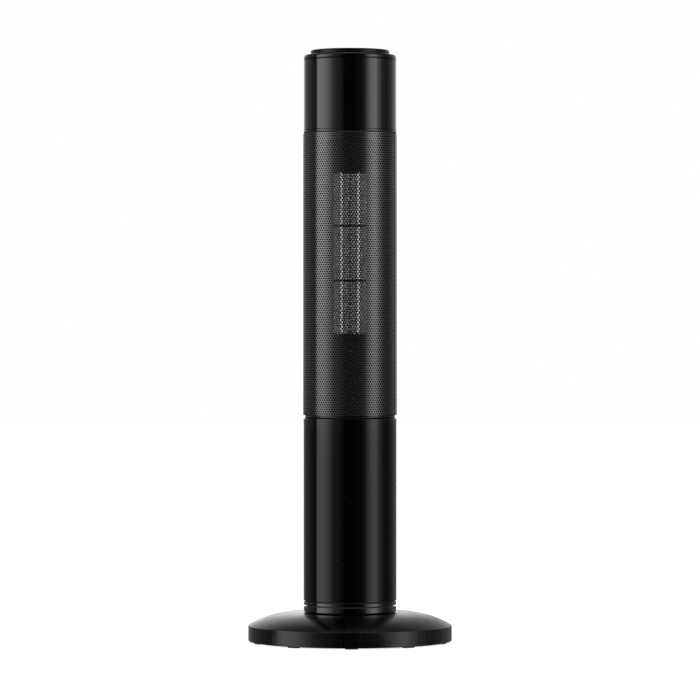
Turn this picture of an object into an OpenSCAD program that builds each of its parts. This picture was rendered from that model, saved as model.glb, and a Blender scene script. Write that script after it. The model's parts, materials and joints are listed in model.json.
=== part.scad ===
// Tower ceramic heater on a round weighted base.
// Units are millimetres and +Z is up.
// The origin is on the floor under the column's axis, and the front faces -Y.

/* [Base] */
// Radius of the base at its rim
base_r = 135.7; // [125:0.1:150]
// Height of the rim's lower edge above the floor
rim_z0 = 1.5; // [1:0.1:3]
// Height of the sharp edge between rim and dome
rim_z1 = 21.9; // [18:0.1:26]
// Height of the flat top of the dome
dome_z = 39.3; // [36:0.1:40]
// Radius at which the dome becomes flat
dome_flat_r = 74; // [70:1:80]
// Wall thickness of the base cover
cover_t = 3; // [2:0.5:4]
// Number of rubber feet
foot_n = 10; // [5:1:12]
// Radius of the circle that the feet stand on
foot_pcd_r = 127.5; // [120:0.5:128]
// Width of a foot across the radius and around the rim
foot_size = [9, 17]; // [7:1:17]
// Turn of the circle of feet about the axis, in degrees
foot_turn = 0.9; // [0:0.1:10]

/* [Column] */
// Radius of the lower shell
shell_r = 61.95; // [61.8:0.05:62.2]
// Radius of the perforated sleeve
sleeve_r = 62.5; // [62.4:0.05:62.6]
// Radius of the upper shell and of the trim rings
trim_r = 61.65; // [61.5:0.05:61.8]
// Wall thickness of the two shells
shell_t = 2.4; // [2:0.1:2.6]
// Thickness of the perforated sheet
sleeve_t = 0.9; // [0.7:0.1:1]
// Depth of the two shadow gaps around the column
gap_depth = 2.2; // [1.6:0.1:2.6]
// Angle from the front to the seam of the sleeve, in degrees
seam_angle = 71; // [60:1:80]

/* [Levels] */
// Top of the collar that is fixed to the base
collar_z1 = 48.2; // [48:0.1:48.3]
// Bottom of the rim of the turntable
turn_z0 = 49.8; // [49.7:0.1:50]
// Top of the rim of the turntable
turn_z1 = 54.5; // [54:0.1:55]
// Bottom and top of the lower shell
lower_z = [55.7, 298.3]; // [55:0.1:299]
// Bottom and top of the perforated sleeve
sleeve_z = [302, 677.6]; // [301:0.1:678]
// Bottom and top of the upper shell
upper_z = [681.7, 774.7]; // [681:0.1:775]
// Bottom and top of the cap ring
cap_z = [775, 782]; // [774.9:0.1:783]
// Top of the control pad
pad_z1 = 788.3; // [788:0.1:789]

/* [Heater and fan] */
// Width, depth and height of the heating element
heater_size = [45, 14, 215]; // [12:1:220]
// Height of the middle of the heating element
heater_mid_z = 517.5; // [510:0.5:525]
// Height of the stadium-shaped mouth around the element
mouth_h = 269; // [265:1:272]
// Width of that mouth
mouth_w = 64; // [62:1:66]
// Radius of the cross-flow wheel
wheel_r = 28; // [26:1:28]
// Number of blades on the wheel
blade_n = 26; // [20:1:28]
// Distance of the wheel's axis behind the column's axis
wheel_y = 14; // [13:0.5:15]

/* [Drive and controls] */
// Teeth of the fixed gear on the base
gear_n = 54; // [54:1:54]
// Teeth of the pinion on the oscillation motor
pinion_n = 18; // [18:1:18]
// Module of both gears
gear_m = 1; // [1:0.1:1]
// Radius of the hollow spindle
spindle_r = 16; // [15:0.5:16]
// Radius of the control pad
pad_r = 52.5; // [51:0.5:54]
// Radius of the small buttons and of the power button
button_r = [6.8, 8.8]; // [6:0.1:9]
// Travel of a button
button_travel = 0.8; // [0.5:0.1:1]
// Travel of the tip-over plunger below the base
plunger_travel = 4; // [3:0.5:5]

/* [Hidden] */
$fn = 96;
gap = 0.3;
run = 0.05;
eps = 0.01;
axis_gap = gear_m * (gear_n + pinion_n) / 2;
dome_rise = dome_z - rim_z1;
dome_run = base_r - dome_flat_r;
dome_arc_r = (dome_run * dome_run + dome_rise * dome_rise) / (2 * dome_rise);
dome_arc_a = asin(dome_run / dome_arc_r);
notch_r = shell_r - gap_depth;
shell_in_r = shell_r - shell_t;
shell_edge_r = 1.2;
upper_in_r = trim_r - shell_t;
sleeve_in_r = sleeve_r - sleeve_t;
seam_w = 0.5;
plate_t = 2.5;
plate_z1 = rim_z0 + plate_t;
ballast_r = [44, 100];
ballast_t = 8;
ballast_hole_a = [0, 90, 180, 270];
ballast_hole_pcd_r = 72;
ballast_hole_r = 3;
boss_r = [19.05, 24];
boss_z0 = 20;
collar_edge_r = 2.6;
bush_z = [20, collar_z1];
bush_flange = [26, 1.4];
gear_z = [collar_z1 + bush_flange[1], collar_z1 + bush_flange[1] + 4];
spindle_z0 = 14;
spindle_bore_r = 12;
web_z = [54.5, 58.5];
cavity_r = 50;
washer_r = [50.5, 57.5];
screw_r = 2;
base_head_r = 3.6;
column_head_r = 3.4;
base_screw_a = [36, 108, 180, 252, 324];
base_screw_pcd_r = 110;
base_boss_r = 4.5;
boss_top_z = 31.5;
stud_r = 2;
foot_a = [for (i = [0:foot_n - 1]) 270 + foot_turn + i * 360 / foot_n];
gland_r = 6;
gland_z = 12;
gland_y0 = 120;
gland_bore_r = 3.6;
gland_lip_r = gland_r + 1.2;
switch_y = -114;
plunger_r = 3.2;
osc_motor_r = 21;
chassis_z = [web_z[1], lower_z[1]];
chassis_r = 55;
post_a = [35, 145, 210, 330];
post_pcd_r = 46;
post_r = 4.2;
board_y = 22;
board_z = [110, 250];
board_w = 64;
board_t = 1.6;
board_mid_z = (board_z[0] + board_z[1]) / 2;
board_hole_in = 6;
terminal_z = 240;
rocker_z = 92;
rocker_size = [13, 19];
rocker_bezel = [17, 24, 2];
rocker_tilt = 9;
rocker_pivot_y = shell_r - 1;
trunnion_r = 1.2;
bulkhead_t = 3;
wire_hole_r = 9;
skirt_h = 10;
band_z = [300.1, 301.3];
band_z0 = sleeve_z[1] + 0.4;
band_z1 = upper_z[0] - 0.4;
ring_z = [band_z0 + 0.9, band_z1 - 0.2];
groove_r = trim_r - 1.6;
rod_r = 2.5;
rod_xy = [[40, 36], [-40, 36], [50, -16], [-50, -16]];
duct_z = [398, 637];
duct_t = 3;
wheel_z = [404, 631];
shaft_r = 3;
shaft_z = [332, 645];
motor_r = 27;
motor_z = [309, 350];
wall_t = 2;
scroll_r = 33;
scroll_y1 = -13;
tongue_xy = [29, -5];
element_y = [-45.5, -45.5 + heater_size[1]];
block_n = 3;
stack_x = [-17.3, -5.1, 5.1, 17.3];
stack_w = 9.4;
rail_x = [-11.2, 11.2];
rail_w = 2.6;
bar_t = 2;
frame_t = 3;
tab_y = -34;
tab_h = 9;
cutout_y = -36.2;
lead_r = 1.1;
mouth_y = -30;
pocket_d = 13.5;
filter_r = 61;
filter_t = 1;
filter_y0 = 15;
lining_z = [sleeve_z[0] + skirt_h + gap, band_z0 - skirt_h - gap];
wire_slot_d = 6.5;
cap_in_r = 49;
cap_edge_r = 3;
board_top_z = 772.6;
board_r = 53;
button_flange_z = 779.5;
button_top_z = 788.6;
display_xy = [0, 19];
display_size = [42, 17];
lens_t = 2;
dish_r = 39;
dish_depth = 0.6;
button_xy = [[-30, -7], [-10, -7], [10, -7], [30, -7], [-12.5, -32], [12.5, -32]];
pillar_r = 3.5;
pillar_hole_r = 1.3;
board_head_r = 2.6;
pillar_pcd_r = 44;
pillar_a = [-90, -5, 65, 115, 185];

// Points of an arc about c, from angle a0 to a1, both ends included.
function arc_pts(c, r, a0, a1, n) = [for (i = [0:n]) c + r * [cos(a0 + (a1 - a0) * i / n),
    sin(a0 + (a1 - a0) * i / n)]];

// Place of a fixing hole in the power board, at its side x and its end z.
function board_hole(x, y, z) = [x * (board_w / 2 - board_hole_in), y,
    z - sign(z - board_mid_z) * board_hole_in];

// A ring between two heights, about Z.
module ring(r_out, r_in, z0, z1) {
    translate([0, 0, z0])
        difference() {
            cylinder(r = r_out, h = z1 - z0);
            translate([0, 0, -1]) cylinder(r = r_in, h = z1 - z0 + 2);
        }
}

// A disc between two heights, about the vertical through xy.
module disc(r, z0, z1, xy = [0, 0]) {
    translate([xy[0], xy[1], z0]) cylinder(r = r, h = z1 - z0);
}

// A block given by its two extreme corners.
module block(low, high) {
    translate(low) cube(high - low);
}

// Copies of the children around a circle, at the angles given.
module around(angles, r) {
    for (a = angles) rotate([0, 0, a]) translate([r, 0, 0]) children();
}

// A rectangle with round corners, centred on the origin.
module rounded_rect(size, r) {
    square([size[0] - 2 * r, size[1]], center = true);
    square([size[0], size[1] - 2 * r], center = true);
    for (x = [-1, 1], y = [-1, 1])
        translate([x * (size[0] / 2 - r), y * (size[1] / 2 - r)]) circle(r = r);
}

// Outline of the dome and rim at a distance t inside the outer surface.
module cover_outline(t) {
    polygon(concat(
        [[0, rim_z0 - t * 2], [base_r - 0.8 - t, rim_z0 - t * 2], [base_r - t, rim_z0 + 0.8 - t * 2]],
        arc_pts([dome_flat_r, dome_z - dome_arc_r], dome_arc_r - t, 90 - dome_arc_a, 90, 16),
        [[0, dome_z - t]]));
}

module base_cover() {
    color([0.03, 0.03, 0.035])
        difference() {
            union() {
                difference() {
                    rotate_extrude() cover_outline(0);
                    rotate_extrude() cover_outline(cover_t);
                }
                ring(boss_r[1], boss_r[0], boss_z0, dome_z);
                around(base_screw_a, base_screw_pcd_r) disc(base_boss_r, plate_z1, boss_top_z);
            }
            disc(boss_r[0], 0, dome_z + 1);
            around(base_screw_a, base_screw_pcd_r) disc(screw_r - gap, plate_z1 - 1, boss_top_z - 7);
            rotate([-90, 0, 0]) disc(gland_r, gland_y0, base_r + 1, [0, -gland_z]);
        }
}

module base_plate() {
    color([0.05, 0.05, 0.05])
        difference() {
            disc(base_r - cover_t - gap, rim_z0, plate_z1);
            around(base_screw_a, base_screw_pcd_r) disc(screw_r + run * 4, 0, 8);
            disc(plunger_r + gap, 0, 8, [0, switch_y]);
            around(foot_a, foot_pcd_r) disc(stud_r, 0, 8);
        }
}

module ballast_plate() {
    color([0.45, 0.46, 0.48])
        difference() {
            ring(ballast_r[1], ballast_r[0], plate_z1, plate_z1 + ballast_t);
            around(ballast_hole_a, ballast_hole_pcd_r) disc(ballast_hole_r, 0, plate_z1 + ballast_t + 1);
        }
}

module rubber_feet() {
    color([0.08, 0.08, 0.08])
        around(foot_a, foot_pcd_r) {
            linear_extrude(rim_z0) rounded_rect(foot_size, foot_size[0] / 2 - 1);
            disc(stud_r - run, rim_z0 - 0.5, plate_z1 + 0.5);
        }
}

module base_screws() {
    color([0.6, 0.6, 0.62])
        around(base_screw_a, base_screw_pcd_r) {
            disc(base_head_r, rim_z0 - 1, rim_z0);
            disc(screw_r - gap - run, rim_z0 - 0.5, boss_top_z - 9);
        }
}

module cord_gland() {
    color([0.06, 0.06, 0.06])
        rotate([-90, 0, 0]) translate([0, -gland_z, 0])
            difference() {
                union() {
                    disc(gland_r - run, gland_y0, base_r + 1);
                    disc(gland_lip_r, base_r - cover_t - 4, base_r - cover_t - 1);
                    disc(gland_lip_r, base_r, base_r + 1.6);
                }
                disc(gland_bore_r, gland_y0 - 1, base_r + 3);
            }
}

module swivel_collar() {
    color([0.04, 0.04, 0.045])
        rotate_extrude()
            polygon(concat([[boss_r[1] + 2.5, dome_z], [trim_r - collar_edge_r, dome_z]],
                arc_pts([trim_r - collar_edge_r, dome_z + collar_edge_r], collar_edge_r, -60, 0, 6),
                [[trim_r, collar_z1 - 0.4], [trim_r - 0.4, collar_z1], [boss_r[1] + 2.5, collar_z1]]));
}

module thrust_washer() {
    color([0.85, 0.84, 0.8]) ring(washer_r[1], washer_r[0], collar_z1, turn_z0 - 0.1);
}

module spindle_bush() {
    color([0.72, 0.6, 0.35])
        difference() {
            union() {
                disc(boss_r[0] - run, bush_z[0], bush_z[1]);
                disc(bush_flange[0], bush_z[1], bush_z[1] + bush_flange[1]);
            }
            disc(spindle_r + run, bush_z[0] - 1, bush_z[1] + 5);
        }
}

// Outline of a spur gear with straight-sided approximations of 20 degree involute flanks.
module gear_outline(n, m, slack) {
    pitch_r = n * m / 2;
    base_circle_r = pitch_r * cos(20);
    root_r = pitch_r - 1.25 * m;
    tip_r = pitch_r + 0.94 * m;
    inv20 = tan(20) * 180 / PI - 20;
    half_a = 90 / n - slack / pitch_r * 90 / PI;
    function flank(r) = let (c = acos(min(1, base_circle_r / r))) half_a + inv20 - (tan(c) * 180 / PI - c);
    start_r = max(root_r, base_circle_r);
    steps = 5;
    polygon([for (i = [0:n - 1]) let (mid = i * 360 / n) each concat(
        [root_r * [cos(mid - flank(start_r)), sin(mid - flank(start_r))]],
        [for (k = [0:steps]) let (r = start_r + (tip_r - start_r) * k / steps)
            r * [cos(mid - flank(r)), sin(mid - flank(r))]],
        [for (k = [steps:-1:0]) let (r = start_r + (tip_r - start_r) * k / steps)
            r * [cos(mid + flank(r)), sin(mid + flank(r))]],
        [root_r * [cos(mid + flank(start_r)), sin(mid + flank(start_r))]])]);
}

module fixed_gear() {
    color([0.88, 0.87, 0.82])
        translate([0, 0, gear_z[0]])
            linear_extrude(gear_z[1] - gear_z[0])
                difference() {
                    rotate(90) gear_outline(gear_n, gear_m, 0.25);
                    circle(r = spindle_r + 1.2);
                }
}

module osc_pinion() {
    color([0.88, 0.87, 0.82])
        translate([0, axis_gap, 0]) {
            translate([0, 0, gear_z[0] + 0.1])
                linear_extrude(gear_z[1] - gear_z[0] - 0.2)
                    rotate(90 + 180 / pinion_n) gear_outline(pinion_n, gear_m, 0.25);
            disc(shaft_r, gear_z[1] - 0.2 - eps, web_z[1] + 8);
        }
}

module tip_switch() {
    color([0.12, 0.12, 0.13])
        difference() {
            block([-8, switch_y - 6, plate_z1], [8, switch_y + 6, plate_z1 + 16]);
            disc(plunger_r + gap, 0, plate_z1 + 4, [0, switch_y]);
            disc(plunger_r + 2, plate_z1 + 1.5 + eps, plate_z1 + 9, [0, switch_y]);
        }
}

module tip_plunger() {
    color([0.8, 0.15, 0.1]) {
        disc(plunger_r - 0.2, 0.2, plate_z1 + 7, [0, switch_y]);
        disc(plunger_r + 1.5, plate_z1 + 1.7 + plunger_travel, plate_z1 + 7, [0, switch_y]);
    }
}

module turntable() {
    color([0.05, 0.05, 0.055])
        difference() {
            rotate_extrude()
                polygon([[spindle_bore_r, spindle_z0], [spindle_r, spindle_z0],
                    [spindle_r, web_z[0]], [cavity_r, web_z[0]], [cavity_r, turn_z0],
                    [trim_r - 0.4, turn_z0], [trim_r, turn_z0 + 0.4], [trim_r, turn_z1 - 0.4],
                    [trim_r - 0.4, turn_z1], [notch_r, turn_z1], [notch_r, lower_z[0]],
                    [shell_in_r - gap, lower_z[0]], [shell_in_r - gap, lower_z[0] + 9],
                    [shell_in_r - gap - 2, lower_z[0] + 9], [shell_in_r - gap - 2, web_z[1]],
                    [spindle_bore_r, web_z[1]]]);
            disc(shaft_r + run, web_z[0] - 1, web_z[1] + 1, [0, axis_gap]);
            around(post_a, post_pcd_r) disc(screw_r, web_z[0] - 1, web_z[1] + 1);
        }
}

module spindle_clip() {
    color([0.55, 0.56, 0.58]) ring(boss_r[1] - 2, spindle_r + run / 2, bush_z[0] - 3.2, bush_z[0] - gap);
}

module osc_motor() {
    color([0.7, 0.7, 0.72])
        difference() {
            union() {
                disc(osc_motor_r, web_z[1], web_z[1] + 19, [0, axis_gap]);
                block([-osc_motor_r - 6, axis_gap - 4, web_z[1]],
                    [osc_motor_r + 6, axis_gap + 4, web_z[1] + 1]);
            }
            disc(shaft_r + run, web_z[1] - 1, web_z[1] + 9, [0, axis_gap]);
        }
}

module lower_chassis() {
    color([0.07, 0.07, 0.075])
        difference() {
            union() {
                ring(chassis_r, chassis_r - 9, chassis_z[0] + 20, chassis_z[0] + 23);
                ring(chassis_r, chassis_r - 12, chassis_z[1] - 3, chassis_z[1]);
                around(post_a, post_pcd_r) disc(post_r, chassis_z[0], chassis_z[1]);
                block([-board_w / 2 - 6, board_y + 5.6, board_z[0] - 6],
                    [board_w / 2 + 6, board_y + 8.1, board_z[1] + 6]);
                for (x = [-1, 1], z = board_z)
                    translate(board_hole(x, board_y + board_t, z))
                        rotate([-90, 0, 0]) cylinder(r = 4, h = 5);
            }
            around(post_a, post_pcd_r) {
                disc(screw_r - gap, chassis_z[1] - 14, chassis_z[1] + 1);
                disc(screw_r - gap, chassis_z[0] - 1, chassis_z[0] + 14);
            }
        }
}

module lower_shell() {
    color([0.015, 0.015, 0.018])
        difference() {
            rotate_extrude()
                polygon(concat([[shell_in_r, lower_z[0]], [shell_r - 0.5, lower_z[0]],
                    [shell_r, lower_z[0] + 0.5]],
                    arc_pts([shell_r - shell_edge_r, lower_z[1] - shell_edge_r], shell_edge_r, 0, 90, 5),
                    [[shell_in_r, lower_z[1]]]));
            block([-rocker_size[0] / 2, 40, rocker_z - rocker_size[1] / 2],
                [rocker_size[0] / 2, 70, rocker_z + rocker_size[1] / 2]);
        }
}

module power_board() {
    color([0.1, 0.3, 0.15])
        difference() {
            block([-board_w / 2, board_y, board_z[0]], [board_w / 2, board_y + board_t, board_z[1]]);
            for (x = [-1, 1], z = board_z)
                translate(board_hole(x, board_y - 1, z))
                    rotate([-90, 0, 0]) cylinder(r = 1.6, h = 5);
        }
}

// Relays, transformer, terminal block, heat sink and capacitors on the power board.
module board_parts() {
    color([0.1, 0.15, 0.3]) {
        for (x = [-20, 4]) block([x - 10, board_y - 16, 205], [x + 10, board_y, 222]);
        block([-31, board_y - 26, 124], [-3, board_y, 154]);
        block([9, board_y - 14, terminal_z - 12], [31, board_y, terminal_z]);
        for (i = [0:4]) block([10 + i * 5, board_y - 24, 160], [11.2 + i * 5, board_y - 2, 195]);
        block([10, board_y - 3, 160], [31.2, board_y, 195]);
        translate([20, board_y, 135]) rotate([90, 0, 0]) cylinder(r = 8, h = 22);
        translate([-20, board_y, 176]) rotate([90, 0, 0]) cylinder(r = 5, h = 16);
    }
}

module switch_body() {
    color([0.05, 0.05, 0.05])
        difference() {
            union() {
                block([-rocker_bezel[0] / 2, shell_r + run, rocker_z - rocker_bezel[1] / 2],
                    [rocker_bezel[0] / 2, shell_r + rocker_bezel[2], rocker_z + rocker_bezel[1] / 2]);
                block([-rocker_size[0] / 2 + 0.2, 46, rocker_z - rocker_size[1] / 2 + 0.2],
                    [rocker_size[0] / 2 - 0.2, shell_r + 1, rocker_z + rocker_size[1] / 2 - 0.2]);
            }
            block([-rocker_size[0] / 2 + 1.4, 52, rocker_z - rocker_size[1] / 2 + 1.4],
                [rocker_size[0] / 2 - 1.4, 70, rocker_z + rocker_size[1] / 2 - 1.4]);
        }
}

module switch_paddle() {
    paddle_w = rocker_size[0] - 3.6;
    color([0.5, 0.05, 0.04])
        translate([0, rocker_pivot_y, rocker_z]) {
            rotate([rocker_tilt, 0, 0]) rotate([90, 0, 90])
                linear_extrude(paddle_w, center = true)
                    polygon([[-3.5, -3], [-3.5, 3], [0.5, 7.4], [3.4, 7.1], [2, 0], [3.4, -7.1],
                        [0.5, -7.4]]);
            rotate([0, 90, 0]) cylinder(r = trunnion_r, h = paddle_w + 0.6, center = true);
        }
}

module lower_bulkhead() {
    color([0.05, 0.05, 0.055])
        difference() {
            rotate_extrude()
                polygon([[0, lower_z[1]], [notch_r - 2.4, lower_z[1]], [notch_r - 2.4, lower_z[1] - 6],
                    [notch_r - gap * 2, lower_z[1] - 6], [notch_r - gap * 2, lower_z[1]],
                    [notch_r, lower_z[1]], [notch_r, sleeve_z[0]], [sleeve_in_r - gap, sleeve_z[0] + gap],
                    [sleeve_in_r - gap, sleeve_z[0] + skirt_h], [sleeve_in_r - 3, sleeve_z[0] + skirt_h],
                    [sleeve_in_r - 3, lower_z[1] + bulkhead_t], [0, lower_z[1] + bulkhead_t]]);
            for (p = rod_xy) disc(rod_r + run, lower_z[1] - 1, sleeve_z[0] + 1, p);
            disc(wire_hole_r, lower_z[1] - 1, sleeve_z[0] + 1, [0, tab_y]);
            around(post_a, post_pcd_r) disc(screw_r, lower_z[1] - 1, sleeve_z[0] + 1);
            rotate_extrude() translate([notch_r - 0.4, band_z[0]]) square([2, band_z[1] - band_z[0]]);
        }
}

module gap_band() {
    color([0.04, 0.04, 0.045]) ring(notch_r + 0.3, notch_r - 0.4, band_z[0], band_z[1]);
}

module motor_bracket() {
    color([0.6, 0.61, 0.63])
        difference() {
            union() {
                disc(motor_r + 3, lower_z[1] + bulkhead_t, lower_z[1] + bulkhead_t + 2, [0, wheel_y]);
                for (a = [30, 150, 270])
                    translate([0, wheel_y, 0]) rotate([0, 0, a])
                        block([motor_r - 5, -5, lower_z[1] + bulkhead_t + 1], [motor_r + 3, 5, motor_z[0]]);
            }
            disc(12, lower_z[1], motor_z[0] - 2, [0, wheel_y]);
        }
}

module fan_motor() {
    color([0.5, 0.51, 0.53])
        difference() {
            union() {
                disc(motor_r, motor_z[0], motor_z[1], [0, wheel_y]);
                disc(9, motor_z[1] - eps, motor_z[1] + 5, [0, wheel_y]);
            }
            disc(shaft_r + run, shaft_z[0] - 1, motor_z[1] + 6, [0, wheel_y]);
        }
}

// Cross-flow wheel: straight blades around the rim, joined by thin discs.
module fan_wheel() {
    disc_z = [for (i = [0:4]) wheel_z[0] + i * (wheel_z[1] - wheel_z[0] - 1.5) / 4];
    color([0.2, 0.2, 0.22])
        translate([0, wheel_y, 0])
            difference() {
                union() {
                    for (z = disc_z) disc(wheel_r, z, z + 1.5);
                    translate([0, 0, wheel_z[0] + 0.5])
                        linear_extrude(wheel_z[1] - wheel_z[0] - 1)
                            for (i = [0:blade_n - 1])
                                rotate(i * 360 / blade_n) translate([wheel_r - 6.4, 0])
                                    rotate(28) square([6.2, 0.8]);
                    disc(6, wheel_z[0], wheel_z[0] + 10);
                    disc(6, wheel_z[1] - 10, wheel_z[1]);
                }
                disc(shaft_r, wheel_z[0] - 1, wheel_z[1] + 1);
            }
}

module fan_shaft() {
    color([0.7, 0.7, 0.72]) disc(shaft_r, shaft_z[0], shaft_z[1], [0, wheel_y]);
}

module fan_bush() {
    color([0.72, 0.6, 0.35])
        difference() {
            union() {
                disc(6, duct_z[1] - duct_t, duct_z[1] + 5, [0, wheel_y]);
                disc(9, duct_z[1], duct_z[1] + 2, [0, wheel_y]);
            }
            disc(shaft_r + run, duct_z[1] - 10, duct_z[1] + 10, [0, wheel_y]);
        }
}

// A horizontal end plate of the air duct.
module duct_plate(z0, hole_r) {
    difference() {
        disc(sleeve_in_r - 3, z0, z0 + duct_t);
        block([-70, -70, z0 - 1], [70, mouth_y + eps, z0 + duct_t + 1]);
        disc(hole_r, z0 - 1, z0 + duct_t + 1, [0, wheel_y]);
        for (p = rod_xy) disc(rod_r + run, z0 - 1, z0 + duct_t + 1, p);
    }
}

module duct_bottom() {
    color([0.08, 0.08, 0.085]) duct_plate(duct_z[0], 6);
}

module duct_top() {
    color([0.08, 0.08, 0.085]) duct_plate(duct_z[1] - duct_t, 6 + run);
}

// A wall of the air duct between its two end plates, with the plan outline of its children.
module duct_wall() {
    translate([0, 0, duct_z[0] + duct_t]) linear_extrude(duct_z[1] - duct_z[0] - 2 * duct_t) children();
}

// The long wall that leads air round the wheel to the mouth.
module duct_scroll() {
    side = -heater_size[0] / 2 - frame_t;
    color([0.62, 0.63, 0.64]) {
        duct_wall()
            polygon(concat(
                arc_pts([0, wheel_y], scroll_r, 100, 180, 24),
                [[-scroll_r, scroll_y1], [side + 0.5, mouth_y], [side - wall_t + 0.5, mouth_y],
                    [-scroll_r - wall_t, scroll_y1 - 0.5]],
                arc_pts([0, wheel_y], scroll_r + wall_t, 180, 100, 24)));
    }
}

// The short wall with the rounded tongue beside the wheel.
module duct_tongue() {
    side = heater_size[0] / 2 + frame_t;
    color([0.62, 0.63, 0.64])
        duct_wall()
            polygon(concat([[side - 0.5, mouth_y]], arc_pts([tongue_xy[0], tongue_xy[1]], 2.6, 200, -20, 12),
                [[side + wall_t, mouth_y]]));
}

// A flat piece in the XZ plane at the element's middle height, from y0 towards the front.
module facing(y0, depth) {
    translate([0, y0, heater_mid_z]) rotate([90, 0, 0]) linear_extrude(depth) children();
}

// Outline of the mouth, with round ends, at a distance t inside its edge.
module mouth_outline(t) {
    rounded_rect([mouth_w - 2 * t, mouth_h - 2 * t], mouth_w / 2 - t - 1);
}

module duct_mouth() {
    window = [heater_size[0] + 2 * frame_t + gap, heater_size[2] + 2 * frame_t + gap];
    color([0.05, 0.05, 0.055])
        difference() {
            intersection() {
                facing(mouth_y, 40) mouth_outline(0);
                disc(sleeve_in_r - 1, heater_mid_z - mouth_h, heater_mid_z + mouth_h);
            }
            facing(0, 100) square(window, center = true);
            hull() {
                facing(element_y[0] - 1, 0.1) square(window, center = true);
                facing(1.5 - sleeve_in_r, 0.1) mouth_outline(1, $fn = 32);
            }
            facing(mouth_y + 1, pocket_d + 1)
                difference() {
                    mouth_outline(wall_t);
                    square(window + [2 * wall_t, 2 * wall_t], center = true);
                }
            facing(mouth_y + 1, wire_slot_d + 1) square([window[0] - 12, mouth_h + 10], center = true);
        }
}

module heater_frame() {
    w = heater_size[0] / 2;
    h = heater_size[2] / 2;
    step = heater_size[2] / block_n;
    color([0.07, 0.07, 0.07])
        translate([0, 0, heater_mid_z]) {
            difference() {
                block([-w - frame_t, element_y[0], -h - frame_t], [w + frame_t, element_y[1], h + frame_t]);
                block([-w, element_y[0] - 1, -h], [w, element_y[1] + 1, h]);
            }
            for (i = [1:block_n - 1])
                block([-w, element_y[0] + 0.5, -h + i * step - bar_t / 2],
                    [w, element_y[1] - 0.5, -h + i * step + bar_t / 2]);
        }
}

// Places its children once for each block of the element, centred in height.
module each_block() {
    step = heater_size[2] / block_n;
    for (i = [0:block_n - 1])
        translate([0, 0, heater_mid_z - heater_size[2] / 2 + (i + 0.5) * step]) children();
}

module heater_fins() {
    half = heater_size[2] / block_n / 2 - bar_t / 2 - 0.2;
    color([0.7, 0.71, 0.72])
        each_block()
            for (x = stack_x)
                block([x - stack_w / 2, element_y[0] + 1, -half], [x + stack_w / 2, element_y[1] - 1, half]);
}

module heater_stones() {
    half = heater_size[2] / block_n / 2 - bar_t / 2 - 0.2;
    stone_h = 2 * half / 3;
    color([0.85, 0.83, 0.78])
        each_block()
            for (x = rail_x, k = [-1, 0, 1])
                block([x - rail_w / 2, element_y[0] + 0.6, k * stone_h - stone_h / 2 + 0.2],
                    [x + rail_w / 2, element_y[1] - 0.6, k * stone_h + stone_h / 2 - 0.2]);
}

module heater_tabs() {
    low_z = heater_mid_z - heater_size[2] / 2 - frame_t;
    color([0.8, 0.65, 0.3])
        for (x = rail_x)
            block([x - 3, tab_y - 0.4, low_z - tab_h], [x + 3, tab_y + 0.4, low_z]);
}

module thermal_cutout() {
    color([0.75, 0.74, 0.7])
        translate([0, 0, heater_mid_z + heater_size[2] / 2 + frame_t + gap / 2 + wall_t])
            union() {
                disc(5, 0, 7, [0, cutout_y]);
                block([-7, cutout_y + 0.8, 0], [7, cutout_y + 1.6, 4]);
            }
}

// A wire along straight stretches with rounded corners.
module wire(points, r) {
    for (i = [1:len(points) - 1])
        hull() {
            translate(points[i - 1]) sphere(r = r, $fn = 8);
            translate(points[i]) sphere(r = r, $fn = 8);
        }
}

module heater_leads() {
    tab_z = heater_mid_z - heater_size[2] / 2 - frame_t - tab_h - lead_r;
    block_top_z = terminal_z + lead_r;
    color([0.75, 0.1, 0.08])
        for (s = [-1, 1])
            wire([[20 + s * 7, board_y - 7, block_top_z], [20 + s * 7, board_y - 7, 262], [s * 4, tab_y, 290],
                [s * 4, tab_y, 330], [s * rail_x[1], tab_y, 375], [s * rail_x[1], tab_y, tab_z]], lead_r);
}

// Screws that hold the chassis posts to the turntable and to the lower bulkhead.
module column_screws() {
    color([0.6, 0.6, 0.62])
        around(post_a, post_pcd_r) {
            disc(screw_r - gap - run, chassis_z[1] - 12, chassis_z[1] + bulkhead_t + 0.5);
            disc(column_head_r, chassis_z[1] + bulkhead_t, chassis_z[1] + bulkhead_t + 2);
            disc(screw_r - gap - run, web_z[0] - 0.5, chassis_z[0] + 12);
            disc(column_head_r, web_z[0] - 1.8, web_z[0]);
        }
}

module tie_rods() {
    color([0.6, 0.61, 0.63])
        for (p = rod_xy) disc(rod_r, lower_z[1] + 0.2, band_z1 - 0.6, p);
}

// Air filter behind the rear half of the sleeve.
module inlet_filter() {
    color([0.12, 0.12, 0.12])
        difference() {
            ring(filter_r, filter_r - filter_t, lining_z[0], lining_z[1]);
            block([-filter_r - 1, -filter_r - 1, lining_z[0] - 1],
                [filter_r + 1, filter_y0, lining_z[1] + 1]);
        }
}

// Dark lining behind the front half of the sleeve, cut out around the mouth.
module front_liner() {
    color([0.04, 0.04, 0.042])
        difference() {
            ring(filter_r, filter_r - filter_t, lining_z[0], lining_z[1]);
            block([-filter_r - 1, filter_y0 - gap, lining_z[0] - 1],
                [filter_r + 1, filter_r + 1, lining_z[1] + 1]);
            facing(0, filter_r + 1) mouth_outline(-gap);
        }
}

module perforated_sleeve() {
    color([0.1, 0.1, 0.105])
        difference() {
            ring(sleeve_r, sleeve_in_r, sleeve_z[0], sleeve_z[1]);
            rotate([0, 0, seam_angle - 90])
                block([sleeve_r - 3, -seam_w / 2, sleeve_z[0] - 1],
                    [sleeve_r + 1, seam_w / 2, sleeve_z[1] + 1]);
        }
}

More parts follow.
